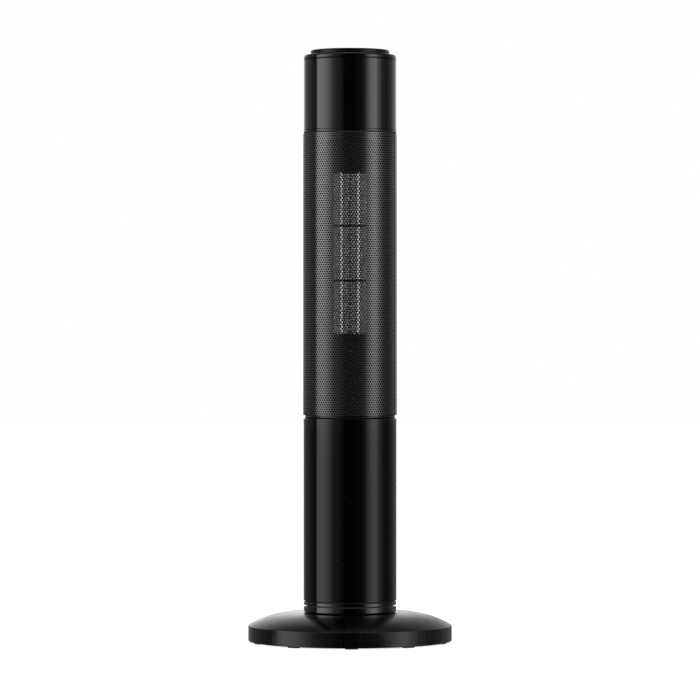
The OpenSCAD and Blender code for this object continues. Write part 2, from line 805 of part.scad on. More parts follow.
module upper_bulkhead() {
    color([0.05, 0.05, 0.055])
        difference() {
            rotate_extrude()
                polygon([[0, band_z0], [sleeve_in_r - 3, band_z0], [sleeve_in_r - 3, band_z0 - skirt_h],
                    [sleeve_in_r - gap, band_z0 - skirt_h], [sleeve_in_r - gap, band_z0],
                    [groove_r, band_z0], [groove_r, ring_z[0]], [trim_r + 0.2, ring_z[0]],
                    [trim_r + 0.2, ring_z[1]], [groove_r, ring_z[1]], [groove_r, band_z1],
                    [upper_in_r - gap, band_z1],
                    [upper_in_r - gap, band_z1 + skirt_h], [upper_in_r - 2.5, band_z1 + skirt_h],
                    [upper_in_r - 2.5, band_z1], [0, band_z1]]);
            for (p = rod_xy) disc(rod_r + run, band_z0 - 1, band_z1 - 0.5, p);
            disc(wire_hole_r, band_z0 - 1, band_z1 + 1, [0, tab_y]);
        }
}

module upper_shell() {
    color([0.015, 0.015, 0.018])
        rotate_extrude()
            polygon([[upper_in_r, upper_z[0]], [trim_r - 0.4, upper_z[0]], [trim_r, upper_z[0] + 0.4],
                [trim_r, upper_z[1] - 0.3], [trim_r - 0.3, upper_z[1]], [upper_in_r, upper_z[1]]]);
}

module cap_ring() {
    color([0.02, 0.02, 0.022])
        rotate_extrude()
            polygon(concat([[cap_in_r, cap_z[0]], [upper_in_r - 3, cap_z[0]],
                [upper_in_r - 3, cap_z[0] - skirt_h], [upper_in_r - gap, cap_z[0] - skirt_h],
                [upper_in_r - gap, cap_z[0]],
                [trim_r - 0.3, cap_z[0]], [trim_r, cap_z[0] + 0.3]],
                arc_pts([trim_r - cap_edge_r, cap_z[1] - cap_edge_r], cap_edge_r, 0, 90, 8),
                [[cap_in_r, cap_z[1]]]));
}

module control_pad() {
    color([0.025, 0.025, 0.028])
        difference() {
            union() {
                rotate_extrude()
                    polygon(concat([[0, cap_z[1]], [pad_r + 0.6, cap_z[1]], [pad_r, cap_z[1] + 1.5]],
                        arc_pts([pad_r - 2, pad_z1 - 2], 2, 0, 90, 6), [[0, pad_z1]]));
                around(pillar_a, pillar_pcd_r) disc(pillar_r, board_top_z, cap_z[1] + 1);
            }
            for (i = [0:5]) disc(button_r[i == 4 ? 1 : 0] + gap, 770, 800, button_xy[i]);
            translate([display_xy[0], display_xy[1], pad_z1 - lens_t])
                linear_extrude(lens_t + 1) rounded_rect(display_size, 3);
            translate([display_xy[0], display_xy[1], 770])
                linear_extrude(30) rounded_rect(display_size - [6, 5], 1);
            around(pillar_a, pillar_pcd_r) disc(pillar_hole_r, board_top_z - 1, cap_z[1] - 1);
        }
}

module display_lens() {
    color([0.05, 0.03, 0.03, 0.8])
        translate([display_xy[0], display_xy[1], pad_z1 - lens_t])
            linear_extrude(lens_t) rounded_rect(display_size - [gap, gap], 2.9);
}

module display_module() {
    color([0.3, 0.3, 0.3])
        translate([display_xy[0], display_xy[1], board_top_z])
            linear_extrude(pad_z1 - 3 - board_top_z) rounded_rect(display_size - [7, 6], 0.8);
}

module control_board() {
    color([0.1, 0.3, 0.15])
        difference() {
            disc(board_r, board_top_z - board_t, board_top_z);
            around(pillar_a, pillar_pcd_r) disc(pillar_hole_r + gap, board_top_z - 3, board_top_z + 1);
        }
}

module tact_switches() {
    color([0.15, 0.15, 0.16])
        for (p = button_xy) {
            block([p[0] - 3, p[1] - 3, board_top_z], [p[0] + 3, p[1] + 3, board_top_z + 3.5]);
            disc(1.7, board_top_z + 3, button_flange_z - button_travel - 0.1, p);
        }
}

module board_screws() {
    color([0.6, 0.6, 0.62])
        around(pillar_a, pillar_pcd_r) {
            disc(pillar_hole_r - run, board_top_z - 2, board_top_z + 7);
            disc(board_head_r, board_top_z - board_t - 1.8, board_top_z - board_t);
        }
}

// A push button with a retaining flange and a shallow dish in its top.
module button(i) {
    r = button_r[i == 4 ? 1 : 0];
    color([0.12, 0.12, 0.125])
        difference() {
            union() {
                disc(r, button_flange_z, button_top_z, button_xy[i]);
                disc(r + 1.5, button_flange_z, button_flange_z + 1.4, button_xy[i]);
            }
            translate([button_xy[i][0], button_xy[i][1], button_top_z + dish_r - dish_depth])
                sphere(r = dish_r);
        }
}

module button_mode() button(0);
module button_cooler() button(1);
module button_warmer() button(2);
module button_timer() button(3);
module button_power() button(4);
module button_swing() button(5);

base_cover();
base_plate();
ballast_plate();
rubber_feet();
base_screws();
cord_gland();
swivel_collar();
thrust_washer();
spindle_bush();
fixed_gear();
tip_switch();
tip_plunger();
turntable();
spindle_clip();
osc_motor();
osc_pinion();
lower_chassis();
lower_shell();
power_board();
board_parts();
switch_body();
switch_paddle();
lower_bulkhead();
gap_band();
motor_bracket();
fan_motor();
fan_wheel();
fan_shaft();
fan_bush();
duct_bottom();
duct_top();
duct_scroll();
duct_tongue();
duct_mouth();
heater_frame();
heater_fins();
heater_stones();
heater_tabs();
thermal_cutout();
heater_leads();
column_screws();
tie_rods();
inlet_filter();
front_liner();
perforated_sleeve();
upper_bulkhead();
upper_shell();
cap_ring();
control_pad();
display_lens();
display_module();
control_board();
tact_switches();
board_screws();
button_mode();
button_cooler();
button_warmer();
button_timer();
button_power();
button_swing();
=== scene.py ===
"""Tower ceramic heater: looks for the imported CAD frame, in metres, +Z up, front towards -Y."""

import json
from math import asin, cos, degrees, hypot, pi, radians, sin, sqrt, tan

import bmesh
import bpy
import numpy as np
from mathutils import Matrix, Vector


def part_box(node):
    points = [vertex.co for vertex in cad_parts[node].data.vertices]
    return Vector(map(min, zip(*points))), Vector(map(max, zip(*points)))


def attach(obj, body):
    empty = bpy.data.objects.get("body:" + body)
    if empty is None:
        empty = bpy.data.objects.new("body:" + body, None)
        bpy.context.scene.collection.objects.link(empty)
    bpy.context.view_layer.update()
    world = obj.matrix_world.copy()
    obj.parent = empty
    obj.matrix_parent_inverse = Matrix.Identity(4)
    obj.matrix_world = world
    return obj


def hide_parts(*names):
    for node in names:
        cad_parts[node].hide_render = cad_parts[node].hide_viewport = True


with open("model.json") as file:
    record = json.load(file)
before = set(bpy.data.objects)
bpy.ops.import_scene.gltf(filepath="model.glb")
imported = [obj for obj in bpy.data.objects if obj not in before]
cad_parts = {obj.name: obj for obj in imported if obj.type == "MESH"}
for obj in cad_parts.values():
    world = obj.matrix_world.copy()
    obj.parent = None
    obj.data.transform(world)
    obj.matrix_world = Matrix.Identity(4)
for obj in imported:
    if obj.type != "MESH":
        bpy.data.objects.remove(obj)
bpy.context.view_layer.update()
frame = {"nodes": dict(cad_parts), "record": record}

MM = 0.001


# ---------------------------------------------------------------- measures from the frame

def low(node):
    """Lowest corner of a CAD node."""
    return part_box(node)[0]


def high(node):
    """Highest corner of a CAD node."""
    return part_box(node)[1]


def middle(node):
    """Centre of a CAD node's box."""
    return (low(node) + high(node)) / 2


BODY_OF = {node: body for body, nodes in frame["record"]["behaviour"]["bodies"].items() for node in nodes}
SLOT_OF = {part["node"]: part["material_slot"] for part in frame["record"]["subparts"]}


# ---------------------------------------------------------------- node tree helpers

# Most of a noise field's values lie between these two.
NOISE_LOW = 0.3
NOISE_HIGH = 0.7


class Graph:
    """A short way to add and link nodes in one node tree."""

    def __init__(self, tree):
        self.tree = tree

    def add(self, kind, settings=None, **inputs):
        """A node with attributes from settings and inputs by name; a socket links, a value is set."""
        node = self.tree.nodes.new(kind)
        for key, value in (settings or {}).items():
            setattr(node, key, value)
        for key, value in inputs.items():
            socket = node.inputs[int(key[1:]) if key[1:].isdigit() else key.replace("_", " ")]
            if isinstance(value, bpy.types.NodeSocket):
                self.tree.links.new(value, socket)
            else:
                socket.default_value = value
        return node

    def math(self, operation, a, b=0.0):
        """The result of a Math node."""
        return self.add("ShaderNodeMath", {"operation": operation}, i0=a, i1=b).outputs[0]

    def span(self, value, from_low, from_high, to_low, to_high):
        """A value mapped from one range to another, clamped."""
        node = self.add("ShaderNodeMapRange", Value=value)
        node.inputs["From Min"].default_value = from_low
        node.inputs["From Max"].default_value = from_high
        node.inputs["To Min"].default_value = to_low
        node.inputs["To Max"].default_value = to_high
        return node.outputs["Result"]

    def noise(self, coords, scale, detail=3.0, stretch=(1, 1, 1)):
        """A noise field over coords; a stretch below 1 draws it out along that axis."""
        if stretch != (1, 1, 1):
            mapping = self.add("ShaderNodeMapping", Vector=coords, Scale=stretch)
            coords = mapping.outputs["Vector"]
        return self.add("ShaderNodeTexNoise", Vector=coords, Scale=scale, Detail=detail).outputs["Fac"]

    def tint(self, value, dark, light):
        """A colour between dark and light."""
        ramp = self.add("ShaderNodeValToRGB", Fac=value)
        ramp.color_ramp.elements[0].color = (*dark, 1)
        ramp.color_ramp.elements[1].color = (*light, 1)
        ramp.color_ramp.elements[0].position = NOISE_LOW
        ramp.color_ramp.elements[1].position = NOISE_HIGH
        return ramp.outputs["Color"]

    def bump(self, height, distance):
        """A normal from a height field of that depth in metres."""
        return self.add("ShaderNodeBump", Height=height, Distance=distance).outputs["Normal"]

    def feed(self, node, **sources):
        """Links sockets into a node's inputs by name."""
        for key, source in sources.items():
            self.tree.links.new(source, node.inputs[key.replace("_", " ")])


def surface(name, base, rough, **shader):
    """A Principled material. Returns it with its graph, its shader node and its object coordinates."""
    material = bpy.data.materials.new(name)
    material.use_nodes = True
    tree = material.node_tree
    bsdf = tree.nodes["Principled BSDF"]
    bsdf.inputs["Base Color"].default_value = (*base, 1)
    bsdf.inputs["Roughness"].default_value = rough
    for key, value in shader.items():
        bsdf.inputs[key.replace("_", " ")].default_value = value
    graph = Graph(tree)
    coords = graph.add("ShaderNodeTexCoord").outputs["Object"]
    return material, graph, bsdf, coords


# ---------------------------------------------------------------- materials

def shifted(base, factor, lift=0.0):
    """A colour multiplied by a factor, with a little white added."""
    return [min(1.0, channel * factor + lift) for channel in base]


def gloss_plastic(name, base, rough=0.035, **shader):
    """Polished moulded plastic: faint orange peel, dust, and a film and wiping marks in its gloss."""
    material, g, bsdf, coords = surface(name, base, rough, **shader)
    dust = g.span(g.noise(coords, 2600, detail=2.0), 0.7, 0.78, 0.0, 1.0)
    film = g.span(g.noise(coords, 14), 0.3, 0.75, 0.6, 1.7)
    wipes = g.noise(coords, 900, detail=2.0, stretch=(1, 1, 0.06))
    marks = g.span(wipes, 0.35, 0.7, 0.8, 1.5)
    peel = g.noise(coords, 160, detail=1.0)
    g.feed(bsdf, Base_Color=g.tint(dust, base, shifted(base, 2, 0.0005)),
           Roughness=g.math("MULTIPLY", g.math("MULTIPLY", film, marks), rough),
           Normal=g.bump(peel, 0.004 * MM))
    return material


def grained_plastic(name, base, rough=0.45, grain=1500, depth=0.04 * MM, **shader):
    """Moulded plastic with a spark-eroded grain."""
    material, g, bsdf, coords = surface(name, base, rough, **shader)
    pits = g.noise(coords, grain, detail=4.0)
    g.feed(bsdf, Base_Color=g.tint(g.noise(coords, 35), base, shifted(base, 1.6, 0.0005)),
           Roughness=g.span(pits, NOISE_LOW, NOISE_HIGH, rough - 0.08, rough + 0.1),
           Normal=g.bump(pits, depth))
    return material


def painted_steel(name, base, rough=0.16, **shader):
    """Stove-painted sheet: slight orange peel, rubbed thinner here and there."""
    material, g, bsdf, coords = surface(name, base, rough, **shader)
    wear = g.noise(coords, 160, detail=4.0)
    peel = g.noise(coords, 700, detail=2.0)
    g.feed(bsdf, Base_Color=g.tint(wear, base, shifted(base, 1.3, 0.0005)),
           Roughness=g.span(wear, NOISE_LOW, NOISE_HIGH, rough - 0.02, rough + 0.03),
           Normal=g.bump(peel, 0.006 * MM))
    return material


def bare_metal(name, base, rough=0.3, stretch=(1, 1, 0.03), scratch=1800, metallic=1.0):
    """Rolled, turned or plated metal with its drawing marks along one axis."""
    material, g, bsdf, coords = surface(name, base, rough, Metallic=metallic)
    lines = g.noise(coords, scratch, stretch=stretch)
    g.feed(bsdf, Base_Color=g.tint(g.noise(coords, 90), shifted(base, 0.72), base),
           Roughness=g.span(lines, NOISE_LOW, NOISE_HIGH, rough * 0.7, rough * 1.4),
           Normal=g.bump(lines, 0.01 * MM))
    return material


def fired_ceramic(name, base):
    """Fired ceramic: matt, speckled and very slightly pitted."""
    material, g, bsdf, coords = surface(name, base, 0.55)
    speck = g.noise(coords, 2200)
    g.feed(bsdf, Base_Color=g.tint(speck, shifted(base, 0.8), base), Normal=g.bump(speck, 0.03 * MM))
    return material


def soft_rubber(name, base, rough=0.7, **shader):
    """Rubber with a dusty bloom."""
    material, g, bsdf, coords = surface(name, base, rough, **shader)
    bloom = g.noise(coords, 120, detail=4.0)
    g.feed(bsdf, Base_Color=g.tint(bloom, base, shifted(base, 1.8, 0.008)),
           Normal=g.bump(g.noise(coords, 2400), 0.03 * MM))
    return material


def woven_screen(name, base, mesh_scale=320.0):
    """A fine woven screen, its threads as crossed waves."""
    material, g, bsdf, coords = surface(name, base, 0.9, Specular_IOR_Level=0.15)
    across, along = [
        g.add("ShaderNodeTexWave", {"bands_direction": axis}, Vector=coords, Scale=mesh_scale)
        for axis in ("X", "Z")]
    threads = g.math("MAXIMUM", across.outputs["Fac"], along.outputs["Fac"])
    g.feed(bsdf, Base_Color=g.tint(threads, shifted(base, 0.3), base), Normal=g.bump(threads, 0.1 * MM))
    return material


FINISHES = {
    "base_gloss": gloss_plastic("base_gloss", (0.0006, 0.0006, 0.0007), 0.2),
    "trim_gloss": gloss_plastic("trim_gloss", (0.0006, 0.0006, 0.0007), IOR=1.85),
    "shell_gloss": gloss_plastic("shell_gloss", (0.0006, 0.0006, 0.0007)),
    "under_plastic": grained_plastic("under_plastic", (0.012, 0.012, 0.013), 0.5),
    "ballast_iron": bare_metal("ballast_iron", (0.2, 0.2, 0.21), 0.55),
    "rubber": soft_rubber("rubber", (0.006, 0.006, 0.006), 0.8, Specular_IOR_Level=0.25),
    "steel": bare_metal("steel", (0.6, 0.61, 0.63), 0.28),
    "acetal": grained_plastic("acetal", (0.76, 0.75, 0.7), 0.35),
    "bronze": bare_metal("bronze", (0.5, 0.33, 0.15), 0.4),
    "signal_red": gloss_plastic("signal_red", (0.45, 0.02, 0.012), 0.15),
    "pad_satin": grained_plastic("pad_satin", (0.001, 0.001, 0.0011), 0.3, 2200, 0.004 * MM,
                                 Specular_IOR_Level=0.2),
    "inner_black": grained_plastic("inner_black", (0.001, 0.001, 0.0011), 0.7, Specular_IOR_Level=0.12),
    "duct_grey": bare_metal("duct_grey", (0.5, 0.51, 0.52), 0.4, (1, 1, 1), 60),
    "board_green": grained_plastic("board_green", (0.01, 0.09, 0.035), 0.3),
    "components": grained_plastic("components", (0.02, 0.02, 0.024), 0.4),
    "fin_aluminium": bare_metal("fin_aluminium", (0.72, 0.72, 0.73), 0.4, metallic=0.3),
    "ceramic_stone": fired_ceramic("ceramic_stone", (0.8, 0.8, 0.79)),
    "tab_brass": bare_metal("tab_brass", (0.75, 0.55, 0.25), 0.25),
    "cutout_body": fired_ceramic("cutout_body", (0.8, 0.78, 0.7)),
    "wire_jacket": soft_rubber("wire_jacket", (0.45, 0.02, 0.015), 0.45),
    "sleeve_paint": painted_steel("sleeve_paint", (0.008, 0.008, 0.0082), Specular_IOR_Level=1.0, IOR=1.56),
    "filter_cloth": woven_screen("filter_cloth", (0.004, 0.004, 0.004)),
    "lens_dark": gloss_plastic("lens_dark", (0.004, 0.003, 0.003), Alpha=0.6, IOR=1.49),
    "button_matt": grained_plastic("button_matt", (0.02, 0.02, 0.021), 0.42, 2200, 0.02 * MM),
}


def dress_frame():
    """Every carried-over CAD node wears the finish of its slot."""
    for name, node in frame["nodes"].items():
        node.data.materials.clear()
        node.data.materials.append(FINISHES[SLOT_OF[name]])


# ---------------------------------------------------------------- mesh helpers

SHARP_ANGLE = 35
MERGE_DISTANCE = 1e-7


def add_object(name, data):
    """A new object, linked to the scene."""
    thing = bpy.data.objects.new(name, data)
    bpy.context.scene.collection.objects.link(thing)
    return thing


def add_piece(name, data, node, nodes=(), slot=None):
    """A new visual piece: dressed, riding with a CAD node's body, and standing for some CAD nodes."""
    piece = add_object(name, data)
    slot = slot or SLOT_OF[node]
    piece.data.materials.append(FINISHES[slot])
    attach(piece, BODY_OF[node])
    if nodes:
        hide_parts(*nodes)
    return piece


def clean_mesh(name, verts, faces):
    """A mesh with its doubled vertices merged and its normals turned outwards."""
    mesh = bpy.data.meshes.new(name)
    mesh.from_pydata(verts, [], faces)
    work = bmesh.new()
    work.from_mesh(mesh)
    bmesh.ops.remove_doubles(work, verts=work.verts, dist=MERGE_DISTANCE)
    bmesh.ops.recalc_face_normals(work, faces=work.faces)
    work.to_mesh(mesh)
    work.free()
    return mesh


def shade(mesh, sharp_angle=SHARP_ANGLE):
    """Smooth shading, apart from edges over that angle in degrees."""
    mesh.polygons.foreach_set("use_smooth", [True] * len(mesh.polygons))
    mesh.set_sharp_from_angle(angle=radians(sharp_angle))


def mesh_piece(name, verts, faces, node, nodes=(), slot=None, sharp_angle=SHARP_ANGLE):
    """A piece from vertices and faces, smooth where its faces meet at less than the sharp angle."""
    mesh = clean_mesh(name, verts, faces)
    shade(mesh, sharp_angle)
    return add_piece(name, mesh, node, nodes, slot)


def soften(corners, steps=5):
    """An outline from (x, y, radius) corners, each rounded by its radius."""
    outline = []
    for i, (x, y, radius) in enumerate(corners):
        corner = Vector((x, y))
        if radius == 0:
            outline.append((x, y))
            continue
        back = (Vector(corners[i - 1][:2]) - corner).normalized()
        ahead = (Vector(corners[(i + 1) % len(corners)][:2]) - corner).normalized()
        half = back.angle(ahead) / 2
        centre = corner + (back + ahead).normalized() * radius / sin(half)
        first = corner + back * radius / tan(half) - centre
        last = corner + ahead * radius / tan(half) - centre
        outline += [tuple(centre + first.slerp(last, k / steps) * radius) for k in range(steps + 1)]
    return outline


BRACE = 0.25 * MM
BRACED_LENGTH = 6 * BRACE


def braced(outline, closed):
    """An outline with points added near the ends of its long stretches, which keep their shading flat."""
    points = [Vector(point) for point in outline]
    result = []
    for i, point in enumerate(points):
        result.append(point)
        after = points[(i + 1) % len(points)]
        step = after - point
        if step.length > BRACED_LENGTH and (closed or i < len(points) - 1):
            reach = step.normalized() * BRACE
            result += [point + reach, after - reach]
    return result


def turned(outline, around=192, axis="Z", centre=(0, 0, 0), closed=True):
    """Vertices and faces of an outline of (radius, height) pairs turned about an axis through centre."""
    outline = braced(outline, closed)
    count = len(outline)
    centre = Vector(centre)
    verts = []
    for k in range(around):
        angle = 2 * pi * k / around
        for radius, height in outline:
            x, y = radius * cos(angle), radius * sin(angle)
            point = Vector((x, y, height)) if axis == "Z" else Vector((x, height, -y))
            verts.append(centre + point)
    faces = [
        (k * count + i, (k + 1) % around * count + i, (k + 1) % around * count + (i + 1) % count,
         k * count + (i + 1) % count)
        for k in range(around) for i in range(count if closed else count - 1)
    ]
    return verts, faces


def joined(parts):
    """One list of vertices and faces from several."""
    verts, faces = [], []
    for part_verts, part_faces in parts:
        start = len(verts)
        verts += part_verts
        faces += [tuple(start + i for i in face) for face in part_faces]
    return verts, faces


def round_box(width, height, radius, steps):
    """The outline of a rectangle with round corners, centred, anticlockwise."""
    w, h = width / 2, height / 2
    return soften([(w, -h, radius), (w, h, radius), (-w, h, radius), (-w, -h, radius)], steps)


def strokes(name, lines, radius, node, slot, nodes=()):
    """Round strokes along lists of points, as one curve piece."""
    curve = bpy.data.curves.new(name, "CURVE")
    curve.dimensions = "3D"
    curve.bevel_depth = radius
    curve.bevel_resolution = 3
    curve.use_fill_caps = True
    for line in lines:
        spline = curve.splines.new("POLY")
        spline.points.add(len(line) - 1)
        spline.points.foreach_set("co", [c for point in line for c in (*point, 1)])
    return add_piece(name, curve, node, nodes, slot)


# ---------------------------------------------------------------- perforated sleeve

HOLE_PITCH = 3.5 * MM
ROW_STEP = HOLE_PITCH * sin(radians(60))
HOLE_RADIUS = 1.25 * MM
HOLE_SIDES = 12
SHEET_MARGIN = 0.5 * MM
SHEET_THICKNESS = 0.9 * MM
SHEET_TRIM = 0.8 * MM
SEAM_ANGLE = radians(71) - pi / 2
SEAM_GAP = 3.0 * MM
HEM_RADIUS = 0.55 * MM
HEM_CHAMFER = 0.3 * HEM_RADIUS
HEM_SIDES = 24
SHEET_SHARP_ANGLE = 50
BLANK_COLUMNS = 6
BLANK_STEPS = 12
SLEEVE_BANDS = 6
# The rim of a hole's cell, in lattice steps from its centre, anticlockwise. The lattice has 4 steps to a
# pitch and 2 to a row, and every other row of holes is shifted by 2 steps.
CELL_RIM = [(2, 0), (2, 1), (1, 1), (0, 1), (-1, 1), (-2, 1), (-2, 0), (-2, -1), (-1, -1), (0, -1), (1, -1),
            (2, -1)]


def sheet_ends():
    """Bottom and top of the sheet, a little inside the grooves at its ends."""
    return low("perforated_sleeve").z + SHEET_TRIM, high("perforated_sleeve").z - SHEET_TRIM


def sleeve_lattice():
    """The angles and heights of the sheet's lattice, and how many rows and columns of holes it has."""
    radius = high("perforated_sleeve").x
    bottom, top = sheet_ends()
    around = round(2 * pi * radius / HOLE_PITCH)
    columns = around - BLANK_COLUMNS - 1
    half_gap = SEAM_GAP / radius / 2
    last_angle = SEAM_ANGLE - half_gap - SHEET_MARGIN / radius
    field = last_angle - 2 * pi / around / 4 * np.arange(4 * columns, -1, -1)
    blank = np.linspace(SEAM_ANGLE + half_gap - 2 * pi, field[0], BLANK_STEPS, endpoint=False)
    angles = np.concatenate([blank, field, [SEAM_ANGLE - half_gap]])
    rows = int((top - bottom - 2 * SHEET_MARGIN) / ROW_STEP)
    margin = (top - bottom - rows * ROW_STEP) / 2
    inner = bottom + margin + ROW_STEP / 2 * np.arange(2 * rows + 1)
    return angles, np.concatenate([[bottom], inner, [top]]), rows, columns


def hole_centres(rows, columns):
    """The lattice places of the holes in some rows, each as its level and its angle's number."""
    return np.array([(2 * row + 2, BLANK_STEPS + 2 + 2 * (row % 2) + 4 * i)
                     for row in rows for i in range(columns - row % 2)])


def plain_cells(levels, wide, rows, columns):
    """The lattice cells that no hole takes: the margins, the blank strip and the shifted rows' ends."""
    plain = np.ones((len(levels) - 1, wide - 1), bool)
    first, last = BLANK_STEPS, BLANK_STEPS + 4 * columns
    for row in rows:
        bottom = 2 * row + 1 - levels[0]
        inset = 2 * (row % 2)
        plain[bottom:bottom + 2, first + inset:last - inset] = False
    return plain


def between(run, other):
    """Quads between two runs of edges, each given as the edges' first and last vertices."""
    return np.stack([run[0], run[1], other[1], other[0]], -1).reshape(-1, 4)


def sheet_sides(index, count, is_bottom, is_top):
    """Quads at the seam's two sides and at the sheet's ends, between its outer and inner faces."""
    runs = [(index[1:, 0], index[:-1, 0]), (index[:-1, -1], index[1:, -1])]
    if is_bottom:
        runs.append((index[0, 1:], index[0, :-1]))
    if is_top:
        runs.append((index[-1, :-1], index[-1, 1:]))
    return [between(run, (run[0] + count, run[1] + count)) for run in runs]


def sleeve_band(angles, heights, columns, first, last, is_bottom, is_top):
    """Vertices and quads of the sheet between two rows of holes."""
    radius = high("perforated_sleeve").x
    levels = np.arange(0 if is_bottom else 1 + 2 * first, len(heights) if is_top else 2 + 2 * last)
    index = np.arange(len(levels) * len(angles)).reshape(len(levels), len(angles))
    angle_grid, height_grid = np.meshgrid(angles, heights[levels])
    lattice = np.stack([angle_grid.ravel(), height_grid.ravel()], 1)
    plain = plain_cells(levels, len(angles), range(first, last), columns)
    cells = np.stack([index[:-1, :-1], index[:-1, 1:], index[1:, 1:], index[1:, :-1]], -1)[plain]

    level_of, angle_of = hole_centres(range(first, last), columns).T
    rim = np.array([index[level_of - levels[0] + up, angle_of + along] for along, up in CELL_RIM]).T
    turn = 2 * pi * np.arange(HOLE_SIDES) / HOLE_SIDES
    hole_angles = angles[angle_of][:, None] + HOLE_RADIUS / radius * np.cos(turn)
    hole_heights = heights[level_of][:, None] + HOLE_RADIUS * np.sin(turn)
    holes = np.stack([hole_angles.ravel(), hole_heights.ravel()], 1)
    edge = index.size + np.arange(len(holes)).reshape(-1, HOLE_SIDES)
    edge_run = (edge, np.roll(edge, -1, 1))
    sheet = np.concatenate([cells, between((rim, np.roll(rim, -1, 1)), edge_run)])

    flat = np.concatenate([lattice, holes])
    count = len(flat)
    walls = between(edge_run, (edge_run[0] + count, edge_run[1] + count))
    sides = sheet_sides(index, count, is_bottom, is_top)
    quads = np.concatenate([sheet, sheet[:, ::-1] + count, walls, *sides])
    verts = np.concatenate([
        np.stack([r * np.cos(flat[:, 0]), r * np.sin(flat[:, 0]), flat[:, 1]], 1)
        for r in (radius, radius - SHEET_THICKNESS)])
    used, quads = np.unique(quads, return_inverse=True)
    return verts[used], quads.reshape(-1, 4)


def quad_mesh(name, verts, quads):
    """A mesh from arrays of vertices and quads."""
    mesh = bpy.data.meshes.new(name)
    mesh.vertices.add(len(verts))
    mesh.vertices.foreach_set("co", verts.ravel())
    mesh.loops.add(quads.size)
    mesh.loops.foreach_set("vertex_index", quads.ravel())
    mesh.polygons.add(len(quads))
    mesh.polygons.foreach_set("loop_start", np.arange(0, quads.size, 4))
    mesh.update(calc_edges=True)
    mesh.validate()
    shade(mesh, SHEET_SHARP_ANGLE)
    return mesh


def build_sleeve():
    """The perforated sheet with every hole, in bands, and the folded hems of its seam."""
    angles, heights, rows, columns = sleeve_lattice()
    cuts = [round(rows * k / SLEEVE_BANDS) for k in range(SLEEVE_BANDS + 1)]
    for k, (first, last) in enumerate(zip(cuts, cuts[1:]), 1):
        verts, quads = sleeve_band(angles, heights, columns, first, last, k == 1, k == SLEEVE_BANDS)
        name = f"sleeve_band_{k}"
        add_piece(name, quad_mesh(name, verts, quads), "perforated_sleeve", ["perforated_sleeve"])
    radius = high("perforated_sleeve").x
    bottom, top = sheet_ends()
    outline = [(0, bottom), (HEM_RADIUS - HEM_CHAMFER, bottom), (HEM_RADIUS, bottom + HEM_CHAMFER),
               (HEM_RADIUS, top - HEM_CHAMFER), (HEM_RADIUS - HEM_CHAMFER, top), (0, top)]
    reach = radius - HEM_RADIUS / 2
    hem_angles = [SEAM_ANGLE + side * (SEAM_GAP / 2 + HEM_RADIUS) / radius for side in (-1, 1)]
    hems = [turned(outline, around=HEM_SIDES, centre=(reach * cos(a), reach * sin(a), 0), closed=False)
            for a in hem_angles]
    mesh_piece("sleeve_seam_hems", *joined(hems), "perforated_sleeve")


# ---------------------------------------------------------------- heating element and mouth

FIN_PITCH = 1.6 * MM
FIN_THICKNESS = 0.2 * MM
FIN_WAVES = 6
FIN_WAVE_RISE = 0.2 * FIN_PITCH
FIN_FOLD_RISE = 0.25 * FIN_PITCH
FIN_RUN_RISE = 0.1 * FIN_PITCH
# Places along a level run, as parts of half its length, close together where it meets the folds.
FIN_RUN = (-0.93, -0.5, 0.0, 0.5, 0.93)
FIN_SHARP_ANGLE = 20
BLOCKS = 3
STACK_CENTRES = [-17.3 * MM, -5.1 * MM, 5.1 * MM, 17.3 * MM]
STACK_HALF = 4.6 * MM
RAIL_OFFSET = 11.2 * MM
BLOCK_GAP = 2.4 * MM
STONES_PER_BLOCK = 3
STONE_GAP = 0.5 * MM
STONE_HALF = 0.95 * MM
STONE_EDGE = 0.2 * MM
LIP_HALF = 1.5 * MM
LIP_PROUD = 0.1 * MM
LIP_CLEARANCE = 0.05 * MM
LIP_EDGE = 0.12 * MM
STRIP_OFFSET = 1.15 * MM
STRIP_HALF = 0.18 * MM
STRIP_EDGE = 0.05 * MM


def block_spans():
    """The bottom and top of each heating block."""
    bottom, top = low("heater_fins").z, high("heater_fins").z
    step = (top - bottom + BLOCK_GAP) / BLOCKS
    return [(bottom + i * step, bottom + (i + 1) * step - BLOCK_GAP) for i in range(BLOCKS)]


def corrugated(centre, bottom, top, front, back):
    """One folded fin strip: level runs joined by round folds, herringboned along its depth."""
    runs = int((top - bottom - FIN_THICKNESS) / (FIN_PITCH / 2))
    path = []
    for k in range(runs):
        side = 1 if k % 2 else -1
        z = bottom + FIN_THICKNESS / 2 + k * FIN_PITCH / 2
        path += [(centre + side * t * STACK_HALF, z + FIN_RUN_RISE * t) for t in FIN_RUN]
        path.append((centre + side * STACK_HALF, z + FIN_FOLD_RISE))
    depth = np.linspace(front, back, 2 * FIN_WAVES + 1)
    wave = [FIN_WAVE_RISE * (j % 2) for j in range(len(depth))]
    verts, faces = [], []
    for offset in (-FIN_THICKNESS / 2, FIN_THICKNESS / 2):
        verts += [(x, y, min(max(z + offset + rise, bottom), top)) for y, rise in zip(depth, wave)
                  for x, z in path]
    count, layer = len(path), len(path) * len(depth)
    for j in range(len(depth) - 1):
        for i in range(count - 1):
            a, b = j * count + i, (j + 1) * count + i
            faces.append((a, a + 1, b + 1, b))
            faces.append((layer + a, layer + b, layer + b + 1, layer + a + 1))
    for j in (0, len(depth) - 1):
        for i in range(count - 1):
            a = j * count + i
            faces.append((a, a + 1, layer + a + 1, layer + a))
    return verts, faces


